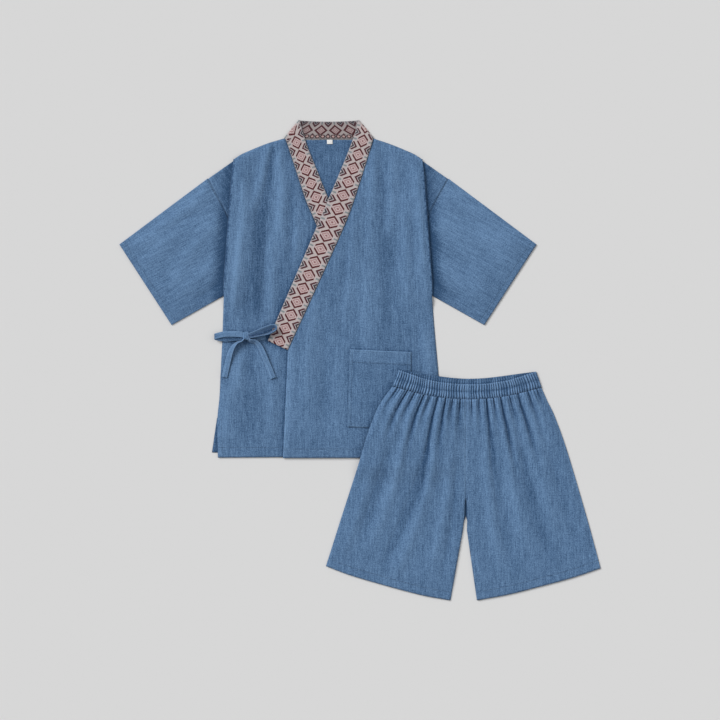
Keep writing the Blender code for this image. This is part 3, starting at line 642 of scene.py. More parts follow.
def front_painted_shading(flat, lap):
    """How far a front is in a ridge or a trough, as painted shade and highlight: 1 at a ridge, -1 in
    a trough. Painted shadows lie beside the neck band, the pocket, the shorts, the upper lap and the
    ties, and a painted highlight runs along the upper lap's edge.
    """
    painted_shading = creases(flat, FRONT_CREASES[lap]) / {"upper": 2.6, "under": 1.9}[lap]
    painted_shading -= 1.1 * np.exp(-away_from(flat, sewn_edge(lap, 40)) / 7.0)
    if lap == "upper":
        painted_shading -= 2.2 * beside(flat, POCKET, 3.0)
        painted_shading += 1.5 * bell(away_from(flat, LAP[lap]), 13.0)
        return painted_shading - shorts_shade(flat)
    painted_shading -= 3.6 * beside(flat, mirrored(lap_outline("upper", True)), 6.0)
    for rows in TIES.values():
        path = mirrored(np.array(rows)[:, :2])
        painted_shading -= 1.2 * np.exp(-np.maximum(away_from(flat, path) - TIE_WIDTH / 2, 0) / 4.0)
    return np.maximum(painted_shading, -3.4)


def front_surface(points, lap):
    """Top of a front at points of the jacket's frame."""
    lift = front_lift(points * (TURN_OF[lap], 1.0), lap)
    return height_in_front(points, lap) + lift + CLOTH


def front_grids(lap):
    """A front's main panel and its pleat."""
    across = {"upper": 78, "under": 66}[lap]
    low, high, below_band = 84, 70, 56
    turn_of = TURN_OF[lap]
    inner = np.vstack([spaced(LAP[lap], below_band)[:-1], sewn_edge(lap, low + high - below_band)])
    side = side_edge(lap, low)
    fold = spaced(OUTER_FOLD, high)
    outer = np.vstack([side[:-1], fold]) - (TURN, 0)
    foot = spaced([inner[0], outer[0]], across)
    top = smooth([inner[-1]] + [(x, y - TURN) for x, y in SHOULDER] + [outer[-1]], across)
    flat = patch(foot, top, inner, outer)
    flat = np.concatenate([flat, np.vstack([side[:-1], fold])[:, None]], axis=1)
    shoulder = smooth([NECK_POINT[lap]] + SHOULDER + [PLEAT_TOP], across + 1)
    flat = np.concatenate([flat, shoulder[None]], axis=0)
    flat[-2, -1] = fold[-1] - (0.2, TURN)
    height = height_in_front(flat * (turn_of, 1.0), lap) + front_lift(flat, lap) + CLOTH / 2
    turned = ease((flat[:, -1, 1] - SLIT_TOP) / 15) * ease((ARMPIT[1] - 12 - flat[:, -1, 1]) / 30)
    height[:, -1] += (CLOTH / 2 - height[:, -1]) * turned
    turned = ease((PLEAT_TOP[0] - 10 - flat[-1, :, 0]) / 40)
    height[-1] += (CLOTH / 2 - height[-1]) * turned
    main = {"points": raised(flat, height), "cut": flat * (turn_of, 1.0),
            "hem": flat[..., 1] - LAP[lap][0][1],
            "lap": away_from(flat, LAP[lap]) + 60 * ease((flat[..., 1] - LAP_TOP + 6.5) / 20),
            "neck": away_from(flat, sewn_edge(lap, 40)),
            "slit": away_from(flat, side[side[:, 1] < SLIT_TOP + 3]),
            "arm": np.full(flat.shape[:-1], FAR), "fold": front_painted_shading(flat, lap)}
    pleat = pleat_grid(main["points"][low - 1:, -1], main["cut"][low - 1:, -1], turn_of)
    for grid in (main, pleat):
        grid["points"] = grid["points"] * (turn_of, 1.0, 1.0)
    return [main, pleat]


def pleat_grid(fold_rows, fold_cut, turn_of):
    """From the outer fold in to the inner fold and out again to the armhole seam."""
    share = np.linspace(0, 1, len(fold_rows))[:, None]
    inner_foot = np.array(UNDERARM) + (-7.0, 4.0)
    inner_fold = inner_foot + share * (np.array(PLEAT_TOP) + (-3.0, -1.0) - inner_foot)
    seam = armhole(len(fold_rows)) + (SEAM, 0)
    outer_fold = fold_rows[:, :2]
    low = CLOTH / 2 + LAYER
    half = (fold_rows[:, 2] - low - LAYER) / 2
    points = np.concatenate([
        fold_rows[:, None], bend(outer_fold, (1.0, 0.0), low + LAYER, half, 10),
        raised(ruled(outer_fold, inner_fold, 6), low + LAYER),
        bend(inner_fold, (-1.0, 0.0), low, LAYER / 2, 8), raised(ruled(inner_fold, seam, 18), low),
    ], axis=1)
    flat = points[..., :2]
    cut = fold_cut[:, None] + run_along(flat, 1)[..., None] * (turn_of, 0.0)
    far = np.full(flat.shape[:-1], FAR)
    shade = -2.8 + 2.8 * ease(away_from(flat, OUTER_FOLD) / 46)
    return {"points": points, "cut": cut, "hem": far, "lap": far, "neck": far, "slit": far,
            "arm": away_from(flat, armhole(40)), "fold": shade}


front_seams = [("hem", HEM_STITCH, 1.3, "x"), ("lap", LAP_STITCH, 0.8, "y"),
               ("slit", SLIT_STITCH, 0.8, "y"), ("neck", TOPSTITCH, 1.0, "y"),
               ("arm", TOPSTITCH, 1.2, "y")]
front_cloth = chambray("chambray_front", front_seams)
under_front = cloth_piece("front_right", "jacket_front_right", front_grids("under"), CLOTH, JACKET_AT,
                          front_cloth)
upper_front = cloth_piece("front_left", "jacket_front_left", front_grids("upper"), CLOTH, JACKET_AT,
                          front_cloth)

# ------------------------------------------------------------------ sleeves
# Short straight sleeves, each a tube sewn to the dropped armhole and laid flat with its fold along
# the top. The cuff is turned up and stitched; the cloth swells between the cuff and the armpit.
CUFF_TOP = (520.5, 531.5)
CUFF_FOOT = (391.5, 332.5)
CUFF_STITCH = 14.0
SLEEVE_CREASES = [(300, 660, 480, 520, 22, 3.4), (296, 620, 440, 480, 26, 2.6),
                  (268, 590, 400, 440, 24, 4.2), (286, 565, 350, 470, 12, -1.6),
                  (270, 500, 380, 400, 18, 2.6), (262, 440, 330, 395, 10, -2.2),
                  (330, 610, 420, 560, 9, -1.4), (380, 560, 470, 480, 14, 1.6),
                  (340, 500, 410, 440, 12, -1.6)]


def sleeve_grid(turn_of):
    """A flattened tube: rings from the armhole seam to the cuff, lifted by the creases on top."""
    rings, over, turns = 66, 58, 7
    seam = armhole(over) + (SEAM, 0)
    cuff = spaced([CUFF_FOOT, CUFF_TOP], over)
    flat = ruled(seam, cuff, rings).swapaxes(0, 1)
    share = np.linspace(0, 1, rings)[:, None]
    inside_by = -beyond(flat, np.vstack([seam, cuff[::-1]]))
    under_body = 1 - ease(away_from(flat, OUTER_FOLD) / 38)
    fold_x, fold_y = np.array(OUTER_FOLD).T
    hidden = flat[..., 0] < np.interp(flat[..., 1], fold_y, fold_x)
    lift = np.maximum(2.2 + creases(flat, SLEEVE_CREASES), 0) * ease(inside_by / 24)
    lift = lift * (1 - np.maximum(under_body, hidden)) * ease((1 - share) / 0.25 + 0.25)
    front = raised(flat, LAYER + CLOTH / 2 + lift)
    along = flat[:, -1] - flat[:, 0]
    along = along / np.linalg.norm(along, axis=1)[:, None]
    points = np.concatenate([
        front, bend(flat[:, -1], along, CLOTH / 2, LAYER / 2, turns),
        raised(flat[:, ::-1], CLOTH / 2),
        bend(flat[:, 0], -along, CLOTH / 2, LAYER / 2, turns, rising=True), front[:, :1],
    ], axis=1)
    reach = np.linalg.norm(flat[:, over // 2] - flat[0, over // 2], axis=1)[:, None]
    flat = points[..., :2]
    # Painted shade and highlight: lighter on the creases' ridges, darker in their troughs, and painted
    # darker beside the body's outer fold.
    painted_shading = creases(flat, SLEEVE_CREASES) / 3.0
    painted_shading = painted_shading - 4.2 * (1 - ease(away_from(flat, OUTER_FOLD) / 44))
    return {"points": points * (turn_of, 1.0, 1.0), "cut": paired(run_along(points, 1) * turn_of, reach),
            "cuff": away_from(flat, [CUFF_FOOT, CUFF_TOP]), "arm": away_from(flat, armhole(40)),
            "fold": painted_shading}


sleeve_cloth = chambray("chambray_sleeve", [("cuff", CUFF_STITCH, 1.3, "x"),
                                            ("arm", TOPSTITCH, 1.2, "x")])
for sleeve_name, turn_of in (("sleeve_right", -1.0), ("sleeve_left", 1.0)):
    sleeve = cloth_piece(sleeve_name + "_cloth", sleeve_name, [sleeve_grid(turn_of)], CLOTH, JACKET_AT,
                         sleeve_cloth)

# ------------------------------------------------------------------ neck band
# One long strip, folded double, sewn along both laps and behind the neck, and folded over at the
# neck points. It is woven with diamonds in maroon on a pink-grey ground, with nested chevrons.
PITCH = 36.2  # of the diamonds along the band
FIRST_DIAMOND = 50.3
BEAD_PITCH = 11.5
BEAD_ROW = -17.5  # across the band, where it is sewn on
BAND_WIDTH = 50.0
BAND_COLOURS = {
    "shadow": (0.12, 0.11, 0.125), "ground": (0.82, 0.76, 0.78), "cross": (0.52, 0.43, 0.40),
    "heart": (0.66, 0.50, 0.48), "fleck": (0.34, 0.20, 0.19), "ring": (0.27, 0.10, 0.11),
    "centre": (0.22, 0.07, 0.08), "sprig": (0.12, 0.19, 0.21), "dark chevron": (0.024, 0.020, 0.030),
    "maroon chevron": (0.070, 0.010, 0.016), "diamond side": (0.085, 0.008, 0.012),
    "seam ground": (0.36, 0.32, 0.33), "bead": (0.62, 0.42, 0.40), "bead ring": (0.045, 0.010, 0.012),
    "shade": (0.030, 0.030, 0.036),
}


def band_grid():
    """The strip: up the under lap, folded over, round the back, and down the upper lap."""
    stations, across, behind = 150, 17, 40
    side = np.linspace(0, 1, across)[None, :, None]
    runs, turns = {}, {}
    back_stretch = np.vstack([[NECK_POINT["upper"]], [FREE_EDGE["upper"][-1]],
                              mirrored([FREE_EDGE["under"][-1]]), mirrored([NECK_POINT["under"]])])
    for lap in ("upper", "under"):
        sewn = sewn_edge(lap, stations)
        free = smooth(FREE_EDGE[lap], stations)
        sewn = sewn + (free - sewn) * 2 * SEAM / BAND_WIDTH
        flat = ruled(sewn, free, across) * (TURN_OF[lap], 1.0)
        height = height_in_front(flat, lap) + (DOUBLE - CLOTH) * rise(flat, back_stretch, 30.0)
        runs[lap] = raised(flat, height + DOUBLE / 2)
        edge = runs[lap][-1]
        line = edge[-1, :2] - edge[0, :2]
        out = np.array([-line[1], line[0]]) / np.linalg.norm(line) * -TURN_OF[lap]
        turns[lap] = bend(edge[:, :2], out, DOUBLE / 2, (edge[:, 2] - DOUBLE / 2) / 2, 9, rising=True)
    back_run = ruled(runs["under"][-1], runs["upper"][-1], behind).swapaxes(0, 1)
    dip = 1 - np.linspace(-1, 1, behind)[:, None] ** 2
    back_run[..., 1] -= dip * np.linspace(2.0, 3.0, across)
    back_run[..., 2] = DOUBLE / 2
    turns = {lap: turned.swapaxes(0, 1) for lap, turned in turns.items()}
    points = np.concatenate([runs["under"], turns["under"][::-1], back_run[1:-1], turns["upper"],
                             runs["upper"][::-1]])
    middle = points[:, across // 2]
    step = np.gradient(middle, axis=0)
    step[:, 2] *= 0.3
    length = np.linalg.norm(step, axis=1, keepdims=True)
    run = np.cumsum(length[::-1, 0])[::-1]
    skew = ((points - middle[:, None]) * (step / length)[:, None]).sum(axis=2)
    skew[stations - 4:stations + behind + 12] = 0
    place = (side[0, :, 0] - 0.5) * BAND_WIDTH
    cut = paired(place, run[:, None] - skew)
    behind_neck = np.zeros(points.shape[:-1])
    behind_neck[stations + 3:stations + behind + 7] = 1.0
    edges = BAND_WIDTH / 2 - np.abs(cut[..., 0])
    from_middle = np.abs(points[..., 0] - 12) / NECK_POINT["under"][0]
    shade = behind_neck * (0.32 + 0.50 * ease((from_middle - 0.35) / 0.9))
    return {"points": points, "cut": cut, "behind": behind_neck, "edge": edges, "fold": shade}


def band_print():
    """Woven pattern from distances along and across the band, in millimetres.

    The side of a diamond is where the distance along it and 0.88 of the distance across add up to
    a constant. A chevron is where the distance across, less 0.95 of that from the line between two
    diamonds, is constant. behind is 1 behind the neck, where the lines are thicker.
    """
    band = Shader("band_print", 0.85, 0.1)
    x, y = band.cut_place()
    place_across, place = x * (1 / MM), y * (1 / MM)
    behind = band.channel("behind")
    jitter = (band.noise(x * 700.0, y * 700.0, 1.0) - 0.5) * 1.6
    grain = band.noise(x * 1300.0, y * 500.0, 2.0, 3.0)
    fleck = band.step(band.noise(x * 900.0, y * 900.0, 1.0, 5.0), 0.52, 0.62)
    across = abs(place_across)
    along = abs((place - FIRST_DIAMOND + PITCH / 2) % PITCH - PITCH / 2)
    between = PITCH / 2 - along
    diamond = along + across * (0.88 + behind * 0.16) + jitter + behind * 1.3
    arm = across - between * 0.95 + jitter
    column = (place % BEAD_PITCH) - BEAD_PITCH / 2
    bead_row = place_across - BEAD_ROW
    bead = band.math('SQRT', column * column + bead_row * bead_row)
    seam_row = band.step(place_across, -12.0, -12.8) * (behind > 0.5)
    short = band.step(between, 11.2, 10.2) * (across < 24.4) * (1 - seam_row)
    cross = band.step(arm, 9.0, 7.5) * band.step(diamond, 15.5, 17.0)
    heart = band.step(diamond, 14.2, 13.4)
    sprig = band.step(along, 2.6, 1.6) * band.step(abs(across - 20.5), 4.8, 3.6)
    first = band.step(abs(arm - 11.6) - behind * 0.6, 3.1, 2.3) * short
    second = band.step(abs(arm - 18.9), 3.0, 2.2) * short
    sides = band.step(abs(diamond - 15.0) - behind * 0.7, 3.0, 2.2) * (across < 13.0 + behind * 9.0)
    ring = seam_row * band.step(abs(bead - 4.2), 1.5, 0.9)
    layers = [("ground", grain), ("cross", cross * 0.5), ("heart", heart * 0.6),
              ("fleck", heart * fleck * 0.85), ("ring", band.step(abs(diamond - 7.6), 1.6, 0.8) * 0.7),
              ("centre", band.step(diamond, 3.6, 2.0) * 0.8), ("sprig", sprig * 0.7),
              ("dark chevron", second * 0.92), ("maroon chevron", first * 0.96),
              ("diamond side", sides * 0.98), ("seam ground", seam_row * 0.7),
              ("bead", seam_row * band.step(bead, 3.4, 2.6)), ("bead ring", ring),
              ("shade", band.channel("fold"))]
    colour = (*BAND_COLOURS["shadow"], 1.0)
    for name, mask in layers:
        colour = band.mix(mask, colour, (*BAND_COLOURS[name], 1.0))
    band.put(band.surface.inputs["Base Color"], colour)
    threads = band.math('SINE', x * 9000.0) * band.math('SINE', y * 9000.0)
    stitches = band.step(abs(band.channel("edge") - 0.0018), 0.0008, 0.0)
    band.bump(threads * 0.25 + (sides + first + ring) * 0.5 + grain * 0.4 - stitches * 1.5, 0.0003)
    return band.material


neck_band = cloth_piece("neck_band_cloth", "neck_band", [band_grid()], DOUBLE, JACKET_AT, band_print())

# ------------------------------------------------------------------ pocket
# A patch of the same chambray on the left front, its top turned over and stitched across. Two rows
# of stitches hold its sides and foot to the front.
POCKET_TOP_STITCH = 32.0


def pocket_grid():
    """A patch on the left front's own surface, one layer up."""
    across, rows = 44, 54
    foot_in, foot_out, top_out, top_in = POCKET
    flat = patch(spaced([foot_in, foot_out], across), spaced([top_in, top_out], across),
                 spaced([foot_in, top_in], rows), spaced([foot_out, top_out], rows))
    rim = np.minimum(away_from(flat, [top_in, foot_in, foot_out, top_out]), 40.0)
    opening = away_from(flat, [top_in, top_out])
    bulge = 1.6 * ease(rim / 30) * ease((flat[..., 1] - 90) / 60)
    height = front_surface(flat, "upper") + AIR / 2 + CLOTH / 2 + bulge
    # Painted light and shade: lighter on crease ridges and darker in their troughs, a painted highlight
    # along the top and the edges, lighter over the turned-over top, darker along two stitched lines, and
    # the painted shadow of the shorts.
    fold = creases(flat, FRONT_CREASES["upper"]) / 3.2 + 1.8 * np.exp(-opening / 4.0)
    fold += 0.35 * (1 - ease((rim - 5) / 5)) + 0.5 * (1 - ease((opening - 28) / 6))
    fold -= 0.9 * bell(rim - 9.0, 1.8) + 0.7 * bell(opening - POCKET_TOP_STITCH, 1.8)
    fold -= shorts_shade(flat)
    return {"points": raised(flat, height), "cut": flat + (3.0, 5.0), "rim": rim, "opening": opening,
            "fold": fold}


pocket_seams = [("opening", POCKET_TOP_STITCH, 1.4, "x"), ("opening", 2 * TOPSTITCH, 0.9, "x"),
                ("rim", TOPSTITCH, 1.0, "y"), ("rim", 4 * TOPSTITCH, 1.1, "y")]
pocket_cloth = chambray("chambray_pocket", pocket_seams, 0.03)
pocket = cloth_piece("pocket_cloth", "pocket", [pocket_grid()], CLOTH, JACKET_AT, pocket_cloth)

# ------------------------------------------------------------------ size tag
# A small blank ribbon tag, sewn to the back by its top edge just under the neck band. Its middle
# and its foot stand a little off the cloth.
TAG_WALL = 0.5
tag_size = tag_box[1] - tag_box[0]
tag_u, tag_v = np.meshgrid(np.linspace(-0.5, 0.5, 15), np.linspace(-0.5, 0.5, 13))
tag_flat = np.stack([tag_u * tag_size[0], tag_v * tag_size[1]], axis=-1)
tag_height = tag_box[0][2] + 0.5 + 0.5 * (1 - (2 * tag_u) ** 2) + 0.3 * (0.5 - tag_v)
ribbon = Shader("tag_ribbon", 0.55, 0.0)
tag_x, tag_y = ribbon.cut_place()
weave = ribbon.math('SINE', tag_x * 14000.0) * ribbon.math('SINE', tag_y * 14000.0)
ribbon.put(ribbon.surface.inputs["Base Color"],
           ribbon.mix(weave * 0.5 + 0.5, (0.72, 0.72, 0.71, 1.0), (0.86, 0.86, 0.85, 1.0)))
ribbon.bump(weave, 0.00008)
tag_grid = {"points": raised(tag_flat + TAG_MIDDLE, tag_height), "cut": tag_flat}
tag = cloth_piece("tag", "size_tag", [tag_grid], TAG_WALL, JACKET_AT, ribbon.material)

# ------------------------------------------------------------------ ties and bow
# Narrow sewn tape of the same chambray: a short strand from the band's corner and one from the
# side seam, tied in a bow with two loops and two free ends. Each tape is stitched along its edge.
TAPE = 1.3
TIE_CUT_FROM = 300.0  # where the tapes lie on the cut cloth, clear of the other pieces
KNOT_SIZE = np.array([18.0, 22.0, 9.6])


def tie_grid(name, rows):
    """Tape along a smooth path: each station is a short line turned by its roll, and cupped."""
    rows = np.array(rows, float)
    into_knot = rows[[0, -1]]
    into_knot[:, :3] += 0.6 * (KNOT_MIDDLE - into_knot[:, :3])
    rows = np.vstack([into_knot[:1], rows, into_knot[1:] if "loop" in name else rows[:0]])
    path = smooth(rows, 90)
    run = np.gradient(path[:, :2], axis=0)
    run /= np.linalg.norm(run, axis=1)[:, None]
    if name == "bow_loop_left":
        run = np.tile([-1.0, 0.0], (len(path), 1))
    roll = np.radians(path[:, 3])
    side = np.column_stack([-run[:, 1] * np.cos(roll), run[:, 0] * np.cos(roll), np.sin(roll)])
    share = np.linspace(-0.5, 0.5, 13)
    points = path[:, None, :3] + side[:, None] * (share * TIE_WIDTH)[None, :, None]
    points[..., 2] += 0.5 * (1 - (2 * share[None]) ** 2) * np.cos(roll)[:, None]
    points[..., 2] += front_lift(mirrored(path[:, :2]), "under")[:, None] + 0.4
    cut = paired(share * TIE_WIDTH + TIE_CUT_FROM, run_along(path[:, :3], 0)[:, None])
    edge = np.broadcast_to((TIE_WIDTH * (0.5 - np.abs(share)))[None], points.shape[:-1])
    in_loop = (ease((np.linspace(0, 1, len(path)) - 0.42) / 0.1) * ("loop" in name))[:, None]
    # Painted highlight along the tape's edges, painted shade down its middle, and more painted shade from
    # each loop's tip back along its lower strand.
    return {"points": points, "cut": cut, "edge": edge, "fold": 2.5 - edge / 2.4 - 2.2 * in_loop}


# A negative shade paints the tape lighter than the rest of the chambray: painted light.
tie_cloth = chambray("chambray_tie", [("edge", 2.2, 0.9, "y")], -0.08)
for tie_name, rows in TIES.items():
    tie = cloth_piece(tie_name + "_tape", tie_name, [tie_grid(tie_name, rows)], TAPE, JACKET_AT,
                      tie_cloth, even=False)

turn, up = np.meshgrid(np.linspace(0, 2 * np.pi, 73), np.linspace(-np.pi / 2, np.pi / 2, 41))
knot_round = np.stack([np.cos(up) * np.cos(turn), np.cos(up) * np.sin(turn), np.sin(up)], axis=-1)
knot_round = np.sign(knot_round) * np.abs(knot_round) ** 0.75
knot_turns = 1.6 * knot_round[..., 0] + 0.25 * knot_round[..., 1] ** 2
knot_folds = 0.5 + 0.5 * np.cos(2 * np.pi * knot_turns)
knot_points = KNOT_MIDDLE + knot_round * (0.90 + 0.10 * knot_folds)[..., None] * KNOT_SIZE / 2
knot_cut = np.stack([turn * KNOT_SIZE[0] / 2, up * KNOT_SIZE[1] / 2], axis=-1)
# The knot's wraps are painted lighter on their ridges and darker between them.
knot_shape = {"points": knot_points + (*JACKET_AT, 0.0), "cut": knot_cut,
              "edge": np.full(turn.shape, 4.0), "fold": 1.6 * knot_folds - 0.4}
knot = bpy.data.objects.new("bow_knot_tape", cloth_mesh("bow_knot_tape", [knot_shape]))
bpy.context.scene.collection.objects.link(knot)
knot.data.materials.append(tie_cloth)
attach(knot, "root")
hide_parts("bow_knot")

# ------------------------------------------------------------------ shorts legs
# Each leg is one piece, from the centre front round the outside to the centre back, gathered into
# the waistband. The folds fan out from the gathers; the hem is turned up and stitched.
CROTCH = {"front": 258.0, "back": 205.0}
CROTCH_LINE = {"front": [(2.9, 238), (3.7, 212)], "back": []}  # where the front legs part below it
LEG_INNER_FOOT = {"right": [(7.8, 175), (38.8, 0)], "left": [(3, 175), (28, 0)]}
LEG_HEM_STITCH = 20.0
LEG_CUT_FROM = 700.0  # where the legs lie on the cut cloth
RIBS = 58  # of the waistband, which end in short puckers on the legs

# Gathers: share of the half waist at the band, drift of that share at the foot of the fold, half
# width as a share, length below the band, and height (negative for a trough)
GATHERS = {
    "right": [(0.03, 0, 0.018, 60, 2), (0.08, 0, 0.013, 90, -3.2), (0.13, 0, 0.02, 150, 3.4),
              (0.185, 0, 0.014, 70, -3.4), (0.23, 0, 0.018, 120, 3), (0.275, 0, 0.016, 190, -4.6),
              (0.33, 0.01, 0.024, 260, 4.4), (0.385, 0.02, 0.016, 330, -5.4), (0.44, 0.02, 0.022, 170, 3.8),
              (0.49, 0.01, 0.013, 70, -3.4), (0.53, 0.01, 0.018, 110, 3.2), (0.575, 0.02, 0.017, 210, -4.8),
              (0.64, 0.02, 0.026, 280, 4.6), (0.70, 0.01, 0.014, 90, -3.4), (0.75, 0.01, 0.022, 160, 3.6),
              (0.80, 0.01, 0.016, 150, -4.2), (0.86, 0, 0.026, 210, 3.8), (0.93, 0, 0.016, 90, -2.6)],
    "left": [(0.03, 0, 0.016, 80, 2.4), (0.075, 0, 0.012, 60, -2.6), (0.12, 0, 0.018, 120, 3.2),
             (0.17, 0, 0.013, 80, -3.2), (0.22, 0, 0.02, 160, 3.6), (0.27, 0.01, 0.016, 230, -5),
             (0.32, 0.01, 0.02, 170, 3.6), (0.365, 0.01, 0.013, 70, -3.2), (0.41, 0.02, 0.02, 190, 3.8),
             (0.46, 0.03, 0.016, 250, -5.2), (0.52, 0.03, 0.024, 240, 4.2), (0.575, 0.02, 0.013, 80, -3.2),
             (0.63, 0.02, 0.022, 200, 3.8), (0.69, 0.02, 0.017, 260, -4.8), (0.76, 0.02, 0.026, 240, 4.2),
             (0.82, 0.01, 0.014, 110, -3.6), (0.88, 0, 0.024, 170, 3.6), (0.94, 0, 0.015, 80, -2.4)],
}

# Long folds: share and height on the leg of the upper and of the lower end, half width and height
LEG_FOLDS = {
    "right": [(0.30, 380, 0.46, 60, 0.050, 3.4), (0.40, 360, 0.56, 100, 0.040, -3.6),
              (0.62, 400, 0.70, 150, 0.050, 3), (0.76, 380, 0.80, 170, 0.040, -2.8),
              (0.16, 330, 0.20, 90, 0.045, 2.4), (0.10, 330, 0.10, 60, 0.030, -1.8),
              (0.88, 330, 0.90, 120, 0.040, 2.2)],
    "left": [(0.28, 400, 0.32, 120, 0.045, -3), (0.20, 380, 0.22, 90, 0.050, 2.8),
             (0.42, 400, 0.46, 150, 0.055, 3.2), (0.56, 400, 0.62, 120, 0.045, -3.2),
             (0.70, 400, 0.72, 170, 0.050, 2.8), (0.84, 350, 0.86, 150, 0.040, -2.2)],
}


def height_of_jacket(points):
    """How far the jacket's layers lift the shorts, at points of the shorts' frame."""
    local = points + SHORTS_AT - JACKET_AT
    upper, under = lap_outline("upper", True), mirrored(lap_outline("under", True))
    height = 2 * LAYER * rise(local, upper, 60.0, 14.0) + 3.4 * rise(local, upper, 60.0, 6.0)
    return height + LAYER * (rise(local, POCKET, 60.0, 14.0) + rise(local, under, 60.0, 14.0))


def leg_lift(side, share, flat, top):
    """Lift of a leg's front: gathers that fade below the band, and long soft folds. The second result
    is painted shade and highlight: darker troughs and puckers, lighter ridges, and painted highlights
    along the outer edge and the centre front seam.
    """
    below = np.maximum(top[None, :, 1] - flat[..., 1], 0)
    lift = 3.0 * (1 - ease(below / 240)) + SWELL
    fold = np.zeros_like(below)
    for place, drift, width, drop, height in GATHERS[side]:
        down = below / drop
        middle = place + drift * down
        spread = width * (0.75 + 1.3 * down if height > 0 else 0.50 + 1.9 * down)
        fade = np.clip(1 - down, 0, 1) ** (1.0 if height > 0 else 1.6)
        gather = height * bell(share - middle, spread) * fade
        lift += gather * (0.9 if height > 0 else 2.0)
        fold += gather * (0.25 if height > 0 else 1.35)
    for share0, y0, share1, y1, width, height in LEG_FOLDS[side]:
        down = (y0 - flat[..., 1]) / (y0 - y1)
        middle = share0 + (share1 - share0) * down
        fade = ease((down + 0.25) / 0.5) * ease((1.25 - down) / 0.5)
        long_fold = height * bell(share - middle, width) * fade
        lift += long_fold
        fold += 0.30 * long_fold
    ends = ease(share / 0.02 + 0.6) * ease((1 - share) / 0.05)
    hem = ease((flat[..., 1] - np.interp(flat[..., 0], *np.array(LEG_HEM[side]).T)) / 70)
    pitch = np.pi * (RIBS / 2 * share + 0.35 * np.sin(9 * share) + 0.2 * np.sin(31 * share))
    reach = 19 + 11 * np.sin(23 * share + 1)
    puckers = (1 - 2 * np.abs(np.sin(pitch)) ** 5) * np.exp(-(below / reach) ** 1.5)
    fold = np.clip(fold + np.where(puckers < 0, 3.8, 1.2) * puckers, -4.0, 1.2)
    fold += 1.1 * bell(1 - share, 0.012)
    fold += 1.6 * bell(flat[..., 0], 3.5) * ease((flat[..., 1] - CROTCH["front"] - 20) / 30)
    lift += 1.4 * puckers
    return np.maximum(lift, 0.0) * ends * (0.25 + 0.75 * hem) * ease((below + 4) / 14 + 0.3), fold


def leg_grid(side):
    """A leg in one grid: its front, the fold down its outside, and its back."""
    turn_of = TURN_OF[side]
    across, rows = 161, 108
    share = np.linspace(0, 1, across)[None]
    outer = smooth(LEG_OUTER[side], rows)[::-1]
    hem = smooth(LEG_HEM[side], across)
    half_waist = smooth(WAIST_FOOT, 2 * across - 1) + (0.0, 2 * SEAM)
    centre_top = half_waist[across - 1, 1]
    top = half_waist[across - 1:] if side == "left" else half_waist[across - 1::-1]
    top[:, 0] = share[0] * outer[-1, 0]
    flats, base = {}, {}
    for layer in ("front", "back"):
        inner = [(0.0, centre_top), (0.0, CROTCH[layer])] + CROTCH_LINE[layer] + LEG_INNER_FOOT[side]
        flat = patch(hem, top, spaced(inner[::-1], rows), outer)
        if layer == "back":
            below_crotch = ease((CROTCH["back"] + 10 - flat[..., 1]) / 30)
            flat[..., 0] += (TURN + 0.8) * below_crotch * (1 - ease(share * 8))
        flats[layer] = flat
        base[layer] = height_of_jacket(flat * (turn_of, 1.0))
    front = raised(flats["front"], base["front"] + LAYER + CLOTH / 2)
    lift, fold = leg_lift(side, share, flats["front"], top)
    front[..., 2] += lift
    turned = ease((CROTCH["back"] - front[:, 0, 1]) / 30)
    front[:, 0, 2] += (base["front"][:, 0] + CLOTH / 2 - front[:, 0, 2]) * turned
    behind = raised(flats["back"], base["back"] + CLOTH / 2)
    edge = behind[:, -1]
    front[:, -1, :2] = edge[:, :2]
    round_edge = bend(edge[:, :2], (1.0, 0.0), edge[:, 2], (front[:, -1, 2] - edge[:, 2]) / 2, 9)
    points = np.concatenate([front, round_edge, behind[:, ::-2]], axis=1)
    flat = points[..., :2]
    centre_seam = [(0.0, 520.0), (0.0, CROTCH["front"])] + LEG_INNER_FOOT[side]
    # The back is painted dark as shade in the slot between the legs; the front has its own painted
    # shade and highlight from its folds.
    slot = [(0.0, CROTCH["front"] + 2), (0.0, CROTCH["back"])]
    shade = -7.0 * bell(away_from(flat, slot), 9.0)
    shade[:, :across] = fold
    cut = flat * (turn_of, 1.0) + (LEG_CUT_FROM, 0.0)
    return {"points": points * (turn_of, 1.0, 1.0), "cut": cut, "fold": shade,
            "hem": away_from(flat, smooth(LEG_HEM[side], 40)), "centre": away_from(flat, centre_seam)}


leg_cloth = chambray("chambray_shorts", [("hem", LEG_HEM_STITCH, 1.3, "x"), ("centre", 3.0, 0.8, "y")])
for side in ("right", "left"):
    leg = cloth_piece("leg_" + side, "shorts_leg_" + side, [leg_grid(side)], CLOTH, SHORTS_AT, leg_cloth)

# ------------------------------------------------------------------ waistband
# A double band with two rows of elastic, drawn up into fine uneven ribs, and stitched between the
# rows and along both edges. It is a flattened ring: the inside of its back shows over its front.
CHANNELS = 2
BAND_HEIGHT = 40.0
BAND_WALL = DOUBLE / 2
FRONT_RIB = 4.2  # height of the tallest ribs
BACK_RIB = 1.2
CUT_STRETCH = 1.6  # of the cut cloth's streaks round the drawn-up band


